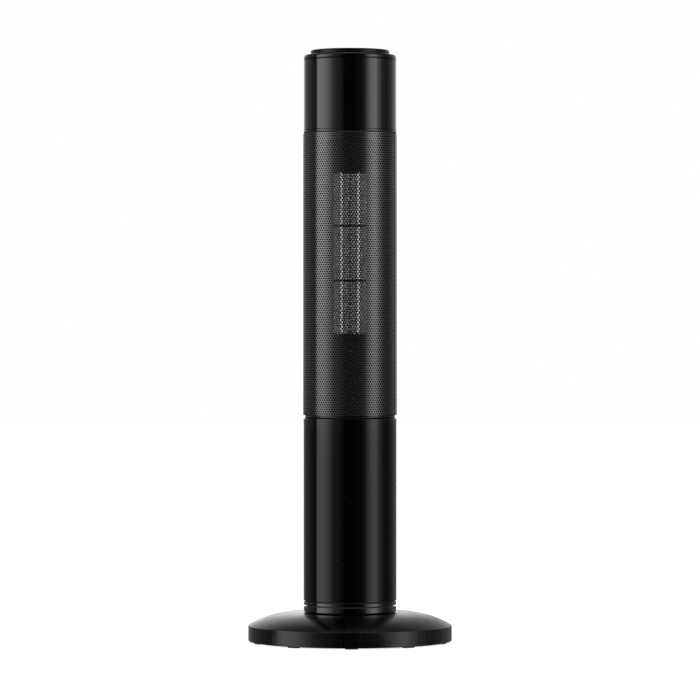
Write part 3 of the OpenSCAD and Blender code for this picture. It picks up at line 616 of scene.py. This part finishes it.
def box_part(lowest, highest, edge):
    """Vertices and faces of a block with softened edges."""
    work = bmesh.new()
    bmesh.ops.create_cube(work, size=1.0)
    for vert in work.verts:
        vert.co = [lowest[i] + (vert.co[i] + 0.5) * (highest[i] - lowest[i]) for i in range(3)]
    bmesh.ops.bevel(work, geom=work.edges[:], offset=edge, segments=2, profile=0.5, affect="EDGES")
    work.verts.index_update()
    part = [v.co.copy() for v in work.verts], [tuple(v.index for v in f.verts) for f in work.faces]
    work.free()
    return part


def rail_parts(x, bottom, top, front):
    """The stones of one rail of a block, and their bright lips with the electrode strips beside them."""
    stone_front, stone_back = low("heater_stones").y, high("heater_stones").y
    step = (top - bottom) / STONES_PER_BLOCK
    stones, lips = [], []
    for k in range(STONES_PER_BLOCK):
        z0 = bottom + k * step + STONE_GAP / 2
        z1 = bottom + (k + 1) * step - STONE_GAP / 2
        stones.append(box_part((x - STONE_HALF, stone_front, z0),
                               (x + STONE_HALF, stone_back, z1), STONE_EDGE))
        lips.append(box_part((x - LIP_HALF, stone_front - LIP_PROUD, z0),
                             (x + LIP_HALF, front - LIP_CLEARANCE, z1), LIP_EDGE))
    for strip_x in (x - STRIP_OFFSET, x + STRIP_OFFSET):
        lips.append(box_part((strip_x - STRIP_HALF, stone_front, bottom),
                             (strip_x + STRIP_HALF, stone_back, top), STRIP_EDGE))
    return stones, lips


def build_element():
    """Corrugated fin stacks, and the stones between bright electrodes, block by block."""
    front, back = low("heater_fins").y, high("heater_fins").y
    for number, (bottom, top) in enumerate(block_spans(), 1):
        fins = [corrugated(x, bottom, top, front, back) for x in STACK_CENTRES]
        mesh_piece(f"fin_stacks_{number}", *joined(fins), "heater_fins", ["heater_fins"],
                   sharp_angle=FIN_SHARP_ANGLE)
        rails = [rail_parts(x, bottom, top, front) for x in (-RAIL_OFFSET, RAIL_OFFSET)]
        stones = [part for rail_stones, _ in rails for part in rail_stones]
        lips = [part for _, rail_lips in rails for part in rail_lips]
        mesh_piece(f"stones_{number}", *joined(stones), "heater_stones", ["heater_stones"])
        mesh_piece(f"electrodes_{number}", *joined(lips), "heater_stones", slot="ceramic_stone")


MOUTH_STEPS = 12
MOUTH_CORNER_STEPS = 16
MOUTH_WALL = 1.4 * MM
MOUTH_LIP = 1.0 * MM
MOUTH_SWEEP_RADIUS = 60.0 * MM
MOUTH_SHARP_ANGLE = 40
WINDOW_CLEARANCE = 0.2 * MM
WINDOW_CORNER = 3.0 * MM
WINDOW_FORWARD = 1.0 * MM


def build_mouth():
    """The bell-shaped mouth: from the element's window out to a stadium on the column's curve."""
    mid = middle("heater_frame")
    window = high("heater_frame") - low("heater_frame")
    outer = high("duct_mouth") - low("duct_mouth")
    window_y = low("heater_frame").y - WINDOW_FORWARD
    back_y = high("duct_mouth").y
    window_loop = round_box(window.x + 2 * WINDOW_CLEARANCE, window.z + 2 * WINDOW_CLEARANCE, WINDOW_CORNER,
                            MOUTH_CORNER_STEPS)
    outer_loop, lip_loop = [
        round_box(outer.x - 2 * inset, outer.z - 2 * inset, outer.x / 2 - inset - MOUTH_LIP,
                  MOUTH_CORNER_STEPS)
        for inset in (MOUTH_LIP, 0)]

    def front_y(x):
        """Where the mouth's front edge lies, on a cylinder inside the sleeve."""
        return -sqrt(MOUTH_SWEEP_RADIUS ** 2 - x * x)

    rings = [[(x, back_y, z) for x, z in window_loop]]
    for k in range(MOUTH_STEPS + 1):
        turn = k / MOUTH_STEPS * pi / 2
        spread, rise = 1 - cos(turn), sin(turn)
        loop = [(a[0] + (b[0] - a[0]) * spread, a[1] + (b[1] - a[1]) * spread)
                for a, b in zip(window_loop, outer_loop)]
        rings.append([(x, window_y + (front_y(x) - window_y) * rise, z) for x, z in loop])
    rings.append([(x, front_y(x), z) for x, z in lip_loop])
    rings.append([(x, back_y, z) for x, z in lip_loop])
    count = len(window_loop)
    verts = [(x + mid.x, y, z + mid.z) for ring in rings for x, y, z in ring]
    faces = [(start + i, start + (i + 1) % count, start + count + (i + 1) % count, start + count + i)
             for start in range(0, len(verts) - count, count) for i in range(count)]
    mouth = mesh_piece("mouth_bezel", verts, faces, "duct_mouth", ["duct_mouth"],
                       sharp_angle=MOUTH_SHARP_ANGLE)
    wall = mouth.modifiers.new("wall", "SOLIDIFY")
    wall.thickness = MOUTH_WALL
    wall.offset = -1


LEAD_RADIUS = 1.1 * MM
# The corners of the pair of leads from the board up: the pair's middle, half its spacing and the height,
# in mm. The first and last heights come from the frame.
LEAD_CORNERS = [(20, 7, None), (20, 7, 262), (0, 4, 290), (0, 4, 330), (0, 11.2, 375), (0, 11.2, None)]
CORNERS_AT_BOARD = 2
BEND_REACH = 0.4
BEND_STEPS = 8


def bent(points):
    """A line through points with its corners rounded."""
    line = [points[0]]
    for before, corner, after in zip(points, points[1:], points[2:]):
        reach = min((corner - before).length, (after - corner).length) * BEND_REACH
        a = corner + (before - corner).normalized() * reach
        b = corner + (after - corner).normalized() * reach
        line += [a.lerp(corner, t).lerp(corner.lerp(b, t), t) for t in np.linspace(0, 1, BEND_STEPS + 1)]
    return [*line, points[-1]]


def build_leads():
    """The two wires from the power board to the element, with round bends."""
    board_y, tab_y = high("heater_leads").y - LEAD_RADIUS, middle("heater_tabs").y
    ends = [low("heater_leads").z + LEAD_RADIUS, low("heater_tabs").z - LEAD_RADIUS]
    heights = [ends[0], *(height * MM for _, _, height in LEAD_CORNERS[1:-1]), ends[1]]
    depths = [board_y if i < CORNERS_AT_BOARD else tab_y for i in range(len(LEAD_CORNERS))]
    lines = []
    for side in (-1, 1):
        across = [(centre + side * half) * MM for centre, half, _ in LEAD_CORNERS]
        lines.append(bent([Vector(point) for point in zip(across, depths, heights)]))
    strokes("heater_lead_wires", lines, LEAD_RADIUS, "heater_leads", "wire_jacket", ["heater_leads"])


# ---------------------------------------------------------------- base, collar and shells

RIM_TOP = 21.9 * MM
DOME_FLAT = 74 * MM
COVER_WALL = 3 * MM
HUB_INNER = 19.05 * MM
HUB_OUTER = 24 * MM
HUB_BOTTOM = 20 * MM
GLAND_HOLE = 6 * MM
DRILL_DEPTH = 20 * MM
RIM_CHAMFER = 0.8 * MM
RIM_EDGE = 0.4 * MM
HUB_EDGE = 0.3 * MM
FINE_EDGE = 0.2 * MM
DOME_STEPS = 24
ROUND_STEPS = 256
COVER_STEPS = 288


def arc(centre, radius, start, stop, steps):
    """Points along an arc, its angles in degrees."""
    return [(centre[0] + radius * cos(radians(a)), centre[1] + radius * sin(radians(a)))
            for a in np.linspace(start, stop, steps + 1)]


def sharp(points):
    """Outline corners that stay sharp."""
    return [(x, y, 0) for x, y in points]


def cut(piece, verts, faces):
    """Cuts a closed shape out of a piece for good."""
    cutter = add_object("cutter", clean_mesh("cutter", verts, faces))
    modifier = piece.modifiers.new("cut", "BOOLEAN")
    modifier.operation = "DIFFERENCE"
    modifier.solver = "EXACT"
    modifier.object = cutter
    result = bpy.data.meshes.new_from_object(piece.evaluated_get(bpy.context.evaluated_depsgraph_get()))
    piece.modifiers.clear()
    piece.data = result
    bpy.data.objects.remove(cutter)
    shade(piece.data)


def build_base_cover():
    """The domed cover with its crisp rim and hub, and the hole for the gland at the back."""
    bottom, top = low("base_cover").z, high("base_cover").z
    radius = high("base_cover").x
    rise, run = top - RIM_TOP, radius - DOME_FLAT
    dome_radius = (run ** 2 + rise ** 2) / (2 * rise)
    lean = degrees(asin(run / dome_radius))
    centre = (DOME_FLAT, top - dome_radius)
    outline = soften([
        (radius - RIM_CHAMFER, bottom, FINE_EDGE), (radius, bottom + RIM_CHAMFER, FINE_EDGE),
        (radius, RIM_TOP, RIM_EDGE),
        *sharp(arc(centre, dome_radius, 90 - lean, 90, DOME_STEPS)[1:]),
        (HUB_INNER, top, HUB_EDGE), (HUB_INNER, HUB_BOTTOM, HUB_EDGE), (HUB_OUTER, HUB_BOTTOM, HUB_EDGE),
        (HUB_OUTER, top - COVER_WALL, 0),
        *sharp(arc(centre, dome_radius - COVER_WALL, 90, 90 - lean, DOME_STEPS)),
        (radius - COVER_WALL, bottom, 0)])
    cover = mesh_piece("domed_cover", *turned(outline, COVER_STEPS), "base_cover", ["base_cover"])
    inside, outside = radius - DRILL_DEPTH, radius + DRILL_DEPTH
    drill = [(0, inside), (GLAND_HOLE, inside), (GLAND_HOLE, outside), (0, outside)]
    cut(cover, *turned(drill, around=64, axis="Y", centre=(0, 0, middle("cord_gland").z), closed=False))


COLLAR_CURVE = 2.6 * MM
COLLAR_EDGE = 0.35 * MM
COLLAR_INNER = HUB_OUTER + 2.5 * MM


def build_collar():
    """The fixed collar on the dome, undercut at its foot."""
    bottom, top = low("swivel_collar").z, high("swivel_collar").z
    radius = high("swivel_collar").x
    outline = soften([
        (COLLAR_INNER, bottom, 0),
        *sharp(arc((radius - COLLAR_CURVE, bottom + COLLAR_CURVE), COLLAR_CURVE, -60, 0, 10)),
        (radius, top, COLLAR_EDGE), (COLLAR_INNER, top, 0)])
    mesh_piece("collar_ring", *turned(outline, ROUND_STEPS), "swivel_collar", ["swivel_collar"])


SHELL_WALL = 2.4 * MM
# Each shell's piece, with the rounding of its foot and its head.
SHELLS = {
    "lower_shell": ("gloss_shell_lower", 0.5 * MM, 1.0 * MM),
    "upper_shell": ("gloss_shell_upper", 0.4 * MM, 0.4 * MM),
}
ROCKER_OPENING = Vector((13, 40, 19)) * MM
ROCKER_OPENING_EDGE = 0.5 * MM


def build_shells():
    """The two gloss tubes with rounded ends; the lower one has the opening for the rear switch."""
    for node, (name, foot, head) in SHELLS.items():
        bottom, top, radius = low(node).z, high(node).z, high(node).x
        inner = radius - SHELL_WALL
        outline = soften([(inner, bottom, FINE_EDGE), (radius, bottom, foot), (radius, top, head),
                          (inner, top, FINE_EDGE)])
        shell = mesh_piece(name, *turned(outline, ROUND_STEPS), node, [node])
        if node == "lower_shell":
            centre, corner = middle("switch_body"), ROCKER_OPENING / 2
            cut(shell, *box_part(centre - corner, centre + corner, ROCKER_OPENING_EDGE))


# Painted shade: dark rubber rings put in the shadow gaps, where the shade falls between the tubes.
SHADE_GASKET_WALL = 0.35 * MM
# Each gasket's neighbour, its depth inside the tube's face, and how far its bottom and top lie above the
# edge that it seals.
SHADE_GASKETS = {
    "foot_shade_gasket": ("lower_shell", 2.2 * MM, -1.15 * MM, -0.05 * MM),
    "sleeve_shade_gasket": ("upper_bulkhead", 0.45 * MM, -2 * SHEET_TRIM, SHEET_TRIM),
    "upper_shade_gasket": ("upper_bulkhead", 1.6 * MM, -0.58 * MM, -0.42 * MM),
}


def build_shade_gaskets():
    """Dull dark rubber rings in the shadow gaps, as painted shade: they keep the gaps dark."""
    shell, trim = high("lower_shell").x, high("upper_shell").x
    edges = {"foot_shade_gasket": (shell, low("lower_shell").z),
             "sleeve_shade_gasket": (trim, high("perforated_sleeve").z),
             "upper_shade_gasket": (trim, low("upper_shell").z)}
    for name, (node, depth, foot, head) in SHADE_GASKETS.items():
        outer, edge = edges[name]
        inner, bottom, top = outer - depth, edge + foot, edge + head
        outline = [(inner, bottom), (inner + SHADE_GASKET_WALL, bottom), (inner + SHADE_GASKET_WALL, top), (inner, top)]
        # Each ring is painted shade: a dull dark sheet at the bottom of its gap.
        mesh_piece(name, *turned(outline), node, slot="rubber")


# ---------------------------------------------------------------- softened CAD edges

EDGE_WIDTHS = {
    "control_pad": 0.25 * MM, "display_lens": 0.2 * MM, "switch_body": 0.4 * MM, "switch_paddle": 0.35 * MM,
    "heater_frame": 0.4 * MM, "board_parts": 0.4 * MM, "tip_switch": 0.5 * MM, "rubber_feet": 0.3 * MM,
    "cord_gland": 0.4 * MM, "cap_ring": 0.12 * MM, "gap_band": 0.15 * MM,
}
WELD_DISTANCE = 1e-6
BEVEL_ANGLE = 40


def soften_frame():
    """Rounds the hard edges of some CAD nodes with modifiers, which leave their meshes as they are."""
    for name, width in EDGE_WIDTHS.items():
        node = frame["nodes"][name]
        weld = node.modifiers.new("weld", "WELD")
        weld.merge_threshold = WELD_DISTANCE
        bevel = node.modifiers.new("soft_edges", "BEVEL")
        bevel.width = width
        bevel.segments = 2
        bevel.limit_method = "ANGLE"
        bevel.angle_limit = radians(BEVEL_ANGLE)
        bevel.harden_normals = True


# ---------------------------------------------------------------- buttons and display

DISH_RADIUS = 39 * MM
DISH_DEPTH = 0.6 * MM
FLANGE_WIDTH = 1.5 * MM
FLANGE_HEIGHT = 1.4 * MM
FLANGE_EDGE = 0.2 * MM
BUTTON_EDGE = 0.35 * MM
DISH_INSET = 0.4 * MM
DISH_STEPS = 12
ICON_LINE = 0.17 * MM
SIGN_HALF = 0.32


def dish_height(r):
    """Height of a button's dished top at a radius, measured from its rim."""
    return min(0.0, DISH_RADIUS - DISH_DEPTH - sqrt(DISH_RADIUS ** 2 - r * r))


def arrow(tip, heading, size=0.16):
    """The two barbs of an arrow head as one line, its heading in degrees."""
    barb = [(tip[0] + size * cos(radians(heading + turn)), tip[1] + size * sin(radians(heading + turn)))
            for turn in (150, -150)]
    return [barb[0], tip, barb[1]]


def heat_wave(x, swing=0.07):
    """One rising wave of the heating symbol."""
    return [(x + swing * sin(t * 2 * pi), SIGN_HALF * (2 * t - 1)) for t in np.linspace(0, 1, 17)]


# Line icons in button radii: x to the right and y to the back.
LEVEL_STROKE = [(-SIGN_HALF, 0), (SIGN_HALF, 0)]
ICONS = {
    "button_power": [arc((0, -0.04), 0.4, 125, 415, 28), [(0, 0.1), (0, 0.5)]],
    "button_swing": [arc((0, 0.32), 0.62, 225, 315, 16), arrow((-0.44, -0.12), 135),
                     arrow((0.44, -0.12), 45), [(0, 0.32), (0, -0.05)]],
    "button_timer": [arc((0, 0), 0.42, 0, 360, 32), [(0, 0.26), (0, 0), (0.2, 0)]],
    "button_mode": [heat_wave(-0.25), heat_wave(0), heat_wave(0.25)],
    "button_cooler": [LEVEL_STROKE],
    "button_warmer": [LEVEL_STROKE, [(0, -SIGN_HALF), (0, SIGN_HALF)]],
}


def dense(line, steps=6):
    """A line with points added between its corners, so that it follows a curved surface."""
    points = [Vector(point) for point in line]
    legs = zip(points, points[1:])
    return [tuple(a.lerp(b, k / steps)) for a, b in legs for k in range(steps)] + [line[-1]]


def build_buttons():
    """Dished push buttons with soft rims, and a printed line icon in each."""
    for node, icon in ICONS.items():
        bottom, top = low(node).z, high(node).z
        centre = middle(node)
        radius = (high(node).x - low(node).x) / 2 - FLANGE_WIDTH
        flange, shoulder = radius + FLANGE_WIDTH, bottom + FLANGE_HEIGHT
        dish_edge = min(radius - DISH_INSET, sqrt(DISH_RADIUS ** 2 - (DISH_RADIUS - DISH_DEPTH) ** 2))
        corners = [(0, bottom, 0), (flange, bottom, FLANGE_EDGE), (flange, shoulder, FLANGE_EDGE),
                   (radius, shoulder, 0), (radius, top, BUTTON_EDGE)]
        dish = [(r, top + dish_height(r), 0) for r in np.linspace(dish_edge, 0, DISH_STEPS)]
        shape = turned(soften([*corners, *dish]), around=96, centre=(centre.x, centre.y, 0), closed=False)
        mesh_piece(f"{node}_cap", *shape, node, [node])
        lines = [[(centre.x + x * radius, centre.y + y * radius, top + dish_height(radius * hypot(x, y)))
                  for x, y in dense(line)] for line in icon]
        strokes(f"{node}_icon", lines, ICON_LINE, node, "acetal")


DIGIT_SIZE = (6.2 * MM, 9.6 * MM)
DIGIT_SPACING = 9.0 * MM
SEGMENT_RADIUS = 0.45 * MM
SEGMENT_TRIM = 1.6 * SEGMENT_RADIUS
DOT_OFFSET = 13 * MM
DOT_HALF = 0.3 * MM
# The seven segments between the corners of a digit, in half widths and half heights.
SEGMENTS = [((-1, 1), (1, 1)), ((-1, 0), (1, 0)), ((-1, -1), (1, -1)), ((-1, 0), (-1, 1)), ((1, 0), (1, 1)),
            ((-1, -1), (-1, 0)), ((1, -1), (1, 0))]


def build_digits():
    """Two unlit seven-segment digits and two indicator dots under the smoked window."""
    centre = middle("display_module")
    centre.z = high("display_module").z
    width, height = DIGIT_SIZE
    lines = []
    for side in (-DIGIT_SPACING / 2, DIGIT_SPACING / 2):
        digit = centre + Vector((side, 0, 0))
        for ends in SEGMENTS:
            start, stop = [Vector((x * width / 2, y * height / 2, 0)) for x, y in ends]
            trim = (stop - start).normalized() * SEGMENT_TRIM
            lines.append([start + trim + digit, stop - trim + digit])
    for x in (-DOT_OFFSET, DOT_OFFSET):
        lines.append([centre + Vector((x - DOT_HALF, 0, 0)), centre + Vector((x + DOT_HALF, 0, 0))])
    strokes("display_digits", lines, SEGMENT_RADIUS, "display_module", "acetal")


# ---------------------------------------------------------------- rear switch and underside

ROCKER_PIVOT = Vector((0, 60.95, 92)) * MM
ROCKER_TILT = radians(9)
MARK_CENTRE = (2.75 * MM, 3.7 * MM)
MARK_SLOPE = 0.195
MARK_HALF = 1.5 * MM
MARK_LINE = 0.22 * MM


def build_switch_marks():
    """The moulded I and O marks on the rocker's two faces."""
    def on_face(side, across, along):
        """A point of the upper (1) or lower (-1) face."""
        out = MARK_CENTRE[0] + along * MARK_SLOPE
        up = side * (MARK_CENTRE[1] + along)
        turned_out = out * cos(ROCKER_TILT) - up * sin(ROCKER_TILT)
        turned_up = out * sin(ROCKER_TILT) + up * cos(ROCKER_TILT)
        return ROCKER_PIVOT + Vector((across, turned_out, turned_up))

    bar = [on_face(1, 0, t * MARK_HALF) for t in (-1, 1)]
    ring = [on_face(-1, x, y) for x, y in arc((0, 0), MARK_HALF, 0, 360, 32)]
    strokes("rocker_marks", [bar, ring], MARK_LINE, "switch_paddle", "acetal")


RIB_RADII = [58 * MM, 82 * MM, 104 * MM]
RIB_WIDTH = 2.4 * MM
RIB_HEIGHT = 0.7 * MM
RIB_EDGE = 0.3 * MM
SCREW_COUNT = 5
FIRST_SCREW = 36
SCREW_CIRCLE = 110 * MM
SCREW_HEAD = 3.6 * MM
SCREW_SHANK = 1.65 * MM
CROSS_HALF = (2.1 * MM, 0.45 * MM)
CROSS_DEPTH = 0.6 * MM
HEAD_CROWN = 0.8
HEAD_EDGE = 0.4 * MM
SHANK_TIP = 0.5 * MM


def prism(outline, bottom, top, centre):
    """Vertices and faces of an upright prism on an outline about a centre."""
    count = len(outline)
    verts = [(centre[0] + x, centre[1] + y, z) for z in (bottom, top) for x, y in outline]
    faces = [tuple(reversed(range(count))), tuple(range(count, 2 * count))]
    faces += [(i, (i + 1) % count, count + (i + 1) % count, count + i) for i in range(count)]
    return verts, faces


def build_screws():
    """Pan head screws under the base, each with a cross recess."""
    bottom, top, face = low("base_screws").z, high("base_screws").z, low("base_plate").z
    long, short = CROSS_HALF
    arm = [(long, -short), (long, short), (short, short)]
    quarters = ((1, 0), (0, 1), (-1, 0), (0, -1))
    cross = [(x * c - y * s, x * s + y * c) for c, s in quarters for x, y in arm]
    screws, recesses = [], []
    for angle in (FIRST_SCREW + 360 / SCREW_COUNT * k for k in range(SCREW_COUNT)):
        centre = (SCREW_CIRCLE * cos(radians(angle)), SCREW_CIRCLE * sin(radians(angle)), 0)
        outline = soften([(0, bottom, 0), (SCREW_HEAD * HEAD_CROWN, bottom, HEAD_EDGE),
                          (SCREW_HEAD, face, 0), (SCREW_SHANK, face, 0), (SCREW_SHANK, top, SHANK_TIP),
                          (0, top, 0)])
        screws.append(turned(outline, around=48, centre=centre, closed=False))
        recesses.append(prism(cross, bottom - CROSS_DEPTH, bottom + CROSS_DEPTH, centre))
    piece = mesh_piece("underside_screws", *joined(screws), "base_screws", ["base_screws"])
    cut(piece, *joined(recesses))


def build_underside():
    """Low moulded rings under the base plate."""
    face = low("base_plate").z
    crest = face - RIB_HEIGHT
    ribs = []
    for radius in RIB_RADII:
        outline = soften([(radius - RIB_WIDTH / 2, face, 0), (radius - RIB_WIDTH / 4, crest, RIB_EDGE),
                          (radius + RIB_WIDTH / 4, crest, RIB_EDGE), (radius + RIB_WIDTH / 2, face, 0)])
        ribs.append(turned(outline))
    mesh_piece("base_plate_ribs", *joined(ribs), "base_plate")


# ---------------------------------------------------------------- studio

CAMERA_DISTANCE = 5.287
CAMERA_HEIGHT = 0.418
AIM_HEIGHT = 0.389
LENS_MM = 203.9
SENSOR_MM = 36.0
FLOOR_REACH = 12.0
FLOOR_GLOW = 0.75
FLOOR_TONES = ((0.9, 0.9, 0.9), (0.92, 0.92, 0.92))
WHITE = (1, 1, 1, 1)

# The studio that the gloss mirrors: (degrees to the right of the camera, brightness), between two tall
# soft boxes in front and a white wall behind.
STUDIO = [
    (-180, 0.8), (-165, 0.7), (-150, 0.45), (-130, 0.33), (-118, 0.3), (-105, 0.17), (-91.5, 0.14),
    (-90.5, 2.5), (-77, 3.3), (-66, 2.9), (-48, 1.2), (-42, 0.5), (-25, 0.22), (-13, 0.0), (8, 0.0),
    (30, 0.08), (38, 0.3), (46, 1.5), (56, 2.7), (68, 3.1), (72, 1.7), (80, 0.95), (88, 0.3), (102, 0.13),
    (118, 0.25), (137, 0.5), (155, 0.5), (170, 0.4), (180, 0.8),
]
STUDIO_PEAK = 4.0
# Levels in degrees above the horizon: where the walls dim towards the floor, where they fade towards the
# ceiling, where the glow on the wall behind begins, and where the ceiling begins.
HORIZON_EDGE = (-1.5, -0.6)
WALL_EDGE = (10, 50)
BACK_EDGE = (1.3, 3.3)
CEILING_EDGE = (62, 80)
BELOW_HORIZON = 0.42
ABOVE_WALLS = 0.14
BACK_GLOW = 0.6
BACK_FROM = 140
CEILING = 1.0
FILL_WATTS = 160.0
FILL_SIZE = 0.12


def build_world():
    """White to the camera; to the surfaces, the two soft boxes, the wall and a soft ceiling."""
    scene = bpy.context.scene
    scene.world = bpy.data.worlds.new("studio")
    scene.world.use_nodes = True
    tree = scene.world.node_tree
    tree.nodes.clear()
    g = Graph(tree)
    direction = g.add("ShaderNodeTexCoord").outputs["Generated"]
    axes = g.add("ShaderNodeSeparateXYZ", Vector=direction).outputs
    azimuth = g.math("ARCTAN2", axes["X"], g.math("MULTIPLY", axes["Y"], -1.0))

    def rising(edge, below, above):
        """A value that changes between two levels, given in degrees."""
        return g.span(axes["Z"], sin(radians(edge[0])), sin(radians(edge[1])), below, above)

    boxes = g.add("ShaderNodeValToRGB", Fac=g.span(azimuth, -pi, pi, 0.0, 1.0))
    ramp = boxes.color_ramp
    while len(ramp.elements) < len(STUDIO):
        ramp.elements.new(0.5)
    for element, (angle, bright) in zip(ramp.elements, STUDIO):
        element.position = (angle + 180) / 360
        element.color = (bright / STUDIO_PEAK,) * 3 + (1,)
    level = rising(HORIZON_EDGE, BELOW_HORIZON, 1.0)
    walls = g.math("MULTIPLY", g.math("MULTIPLY", boxes.outputs["Color"], STUDIO_PEAK), level)
    back = g.span(g.math("ABSOLUTE", azimuth), radians(BACK_FROM), pi, 0.0, BACK_GLOW)
    walls = g.math("ADD", walls, g.math("MULTIPLY", back, rising(BACK_EDGE, 0.0, 1.0)))
    walls = g.math("MULTIPLY", walls, rising(WALL_EDGE, 1.0, ABOVE_WALLS))
    light = g.math("ADD", walls, rising(CEILING_EDGE, 0.0, CEILING))
    lit = g.add("ShaderNodeBackground", Color=WHITE, Strength=light)
    seen = g.add("ShaderNodeBackground", Color=WHITE, Strength=1.0)
    is_camera = g.add("ShaderNodeLightPath").outputs["Is Camera Ray"]
    mix = g.add("ShaderNodeMixShader", Fac=is_camera, i1=lit.outputs[0], i2=seen.outputs[0])
    g.add("ShaderNodeOutputWorld", Surface=mix.outputs[0])
    scene.view_settings.view_transform = "Standard"
    # The denoiser would smear the pattern of the sleeve's small holes.
    scene.cycles.use_denoising = False


def aim_at(thing, target):
    """Turns a camera or a light towards a point."""
    thing.rotation_euler = (target - thing.location).to_track_quat("-Z", "Y").to_euler()


def build_fill():
    """A fill light beside the lens, which reaches in through the holes. Gloss doesn't mirror it."""
    data = bpy.data.lights.new("fill", "AREA")
    data.shape = "DISK"
    data.size = FILL_SIZE
    data.energy = FILL_WATTS
    fill = add_object("fill", data)
    fill.location = (0, -CAMERA_DISTANCE, CAMERA_HEIGHT + FILL_SIZE / 2)
    aim_at(fill, middle("heater_frame"))
    fill.visible_glossy = False
    fill.visible_camera = False


def build_floor():
    """A wide white floor. Gloss doesn't mirror it, so the shells show only the studio."""
    mesh = bpy.data.meshes.new("studio_floor")
    reach = FLOOR_REACH
    corners = [(-reach, -reach, 0), (reach, -reach, 0), (reach, reach, 0), (-reach, reach, 0)]
    mesh.from_pydata(corners, [], [(0, 1, 2, 3)])
    floor = add_object("studio_floor", mesh)
    material, g, bsdf, coords = surface("floor_white", FLOOR_TONES[0], 0.9, Specular_IOR_Level=0.0,
                                        Emission_Color=WHITE, Emission_Strength=FLOOR_GLOW)
    g.feed(bsdf, Base_Color=g.tint(g.noise(coords, 2.0), *FLOOR_TONES))
    mesh.materials.append(material)
    floor.visible_glossy = False


def build_camera():
    """A long lens at the height of the column's middle, straight in front."""
    data = bpy.data.cameras.new("camera")
    data.lens = LENS_MM
    data.sensor_width = SENSOR_MM
    data.clip_end = 100.0
    camera = add_object("camera", data)
    camera.location = (0, -CAMERA_DISTANCE, CAMERA_HEIGHT)
    aim_at(camera, Vector((0, 0, AIM_HEIGHT)))
    bpy.context.scene.camera = camera


build_camera()
build_world()
build_fill()
build_floor()
dress_frame()
build_sleeve()
build_element()
build_mouth()
build_leads()
build_base_cover()
build_collar()
build_shells()
build_shade_gaskets()
soften_frame()
build_buttons()
build_digits()
build_switch_marks()
build_underside()
build_screws()
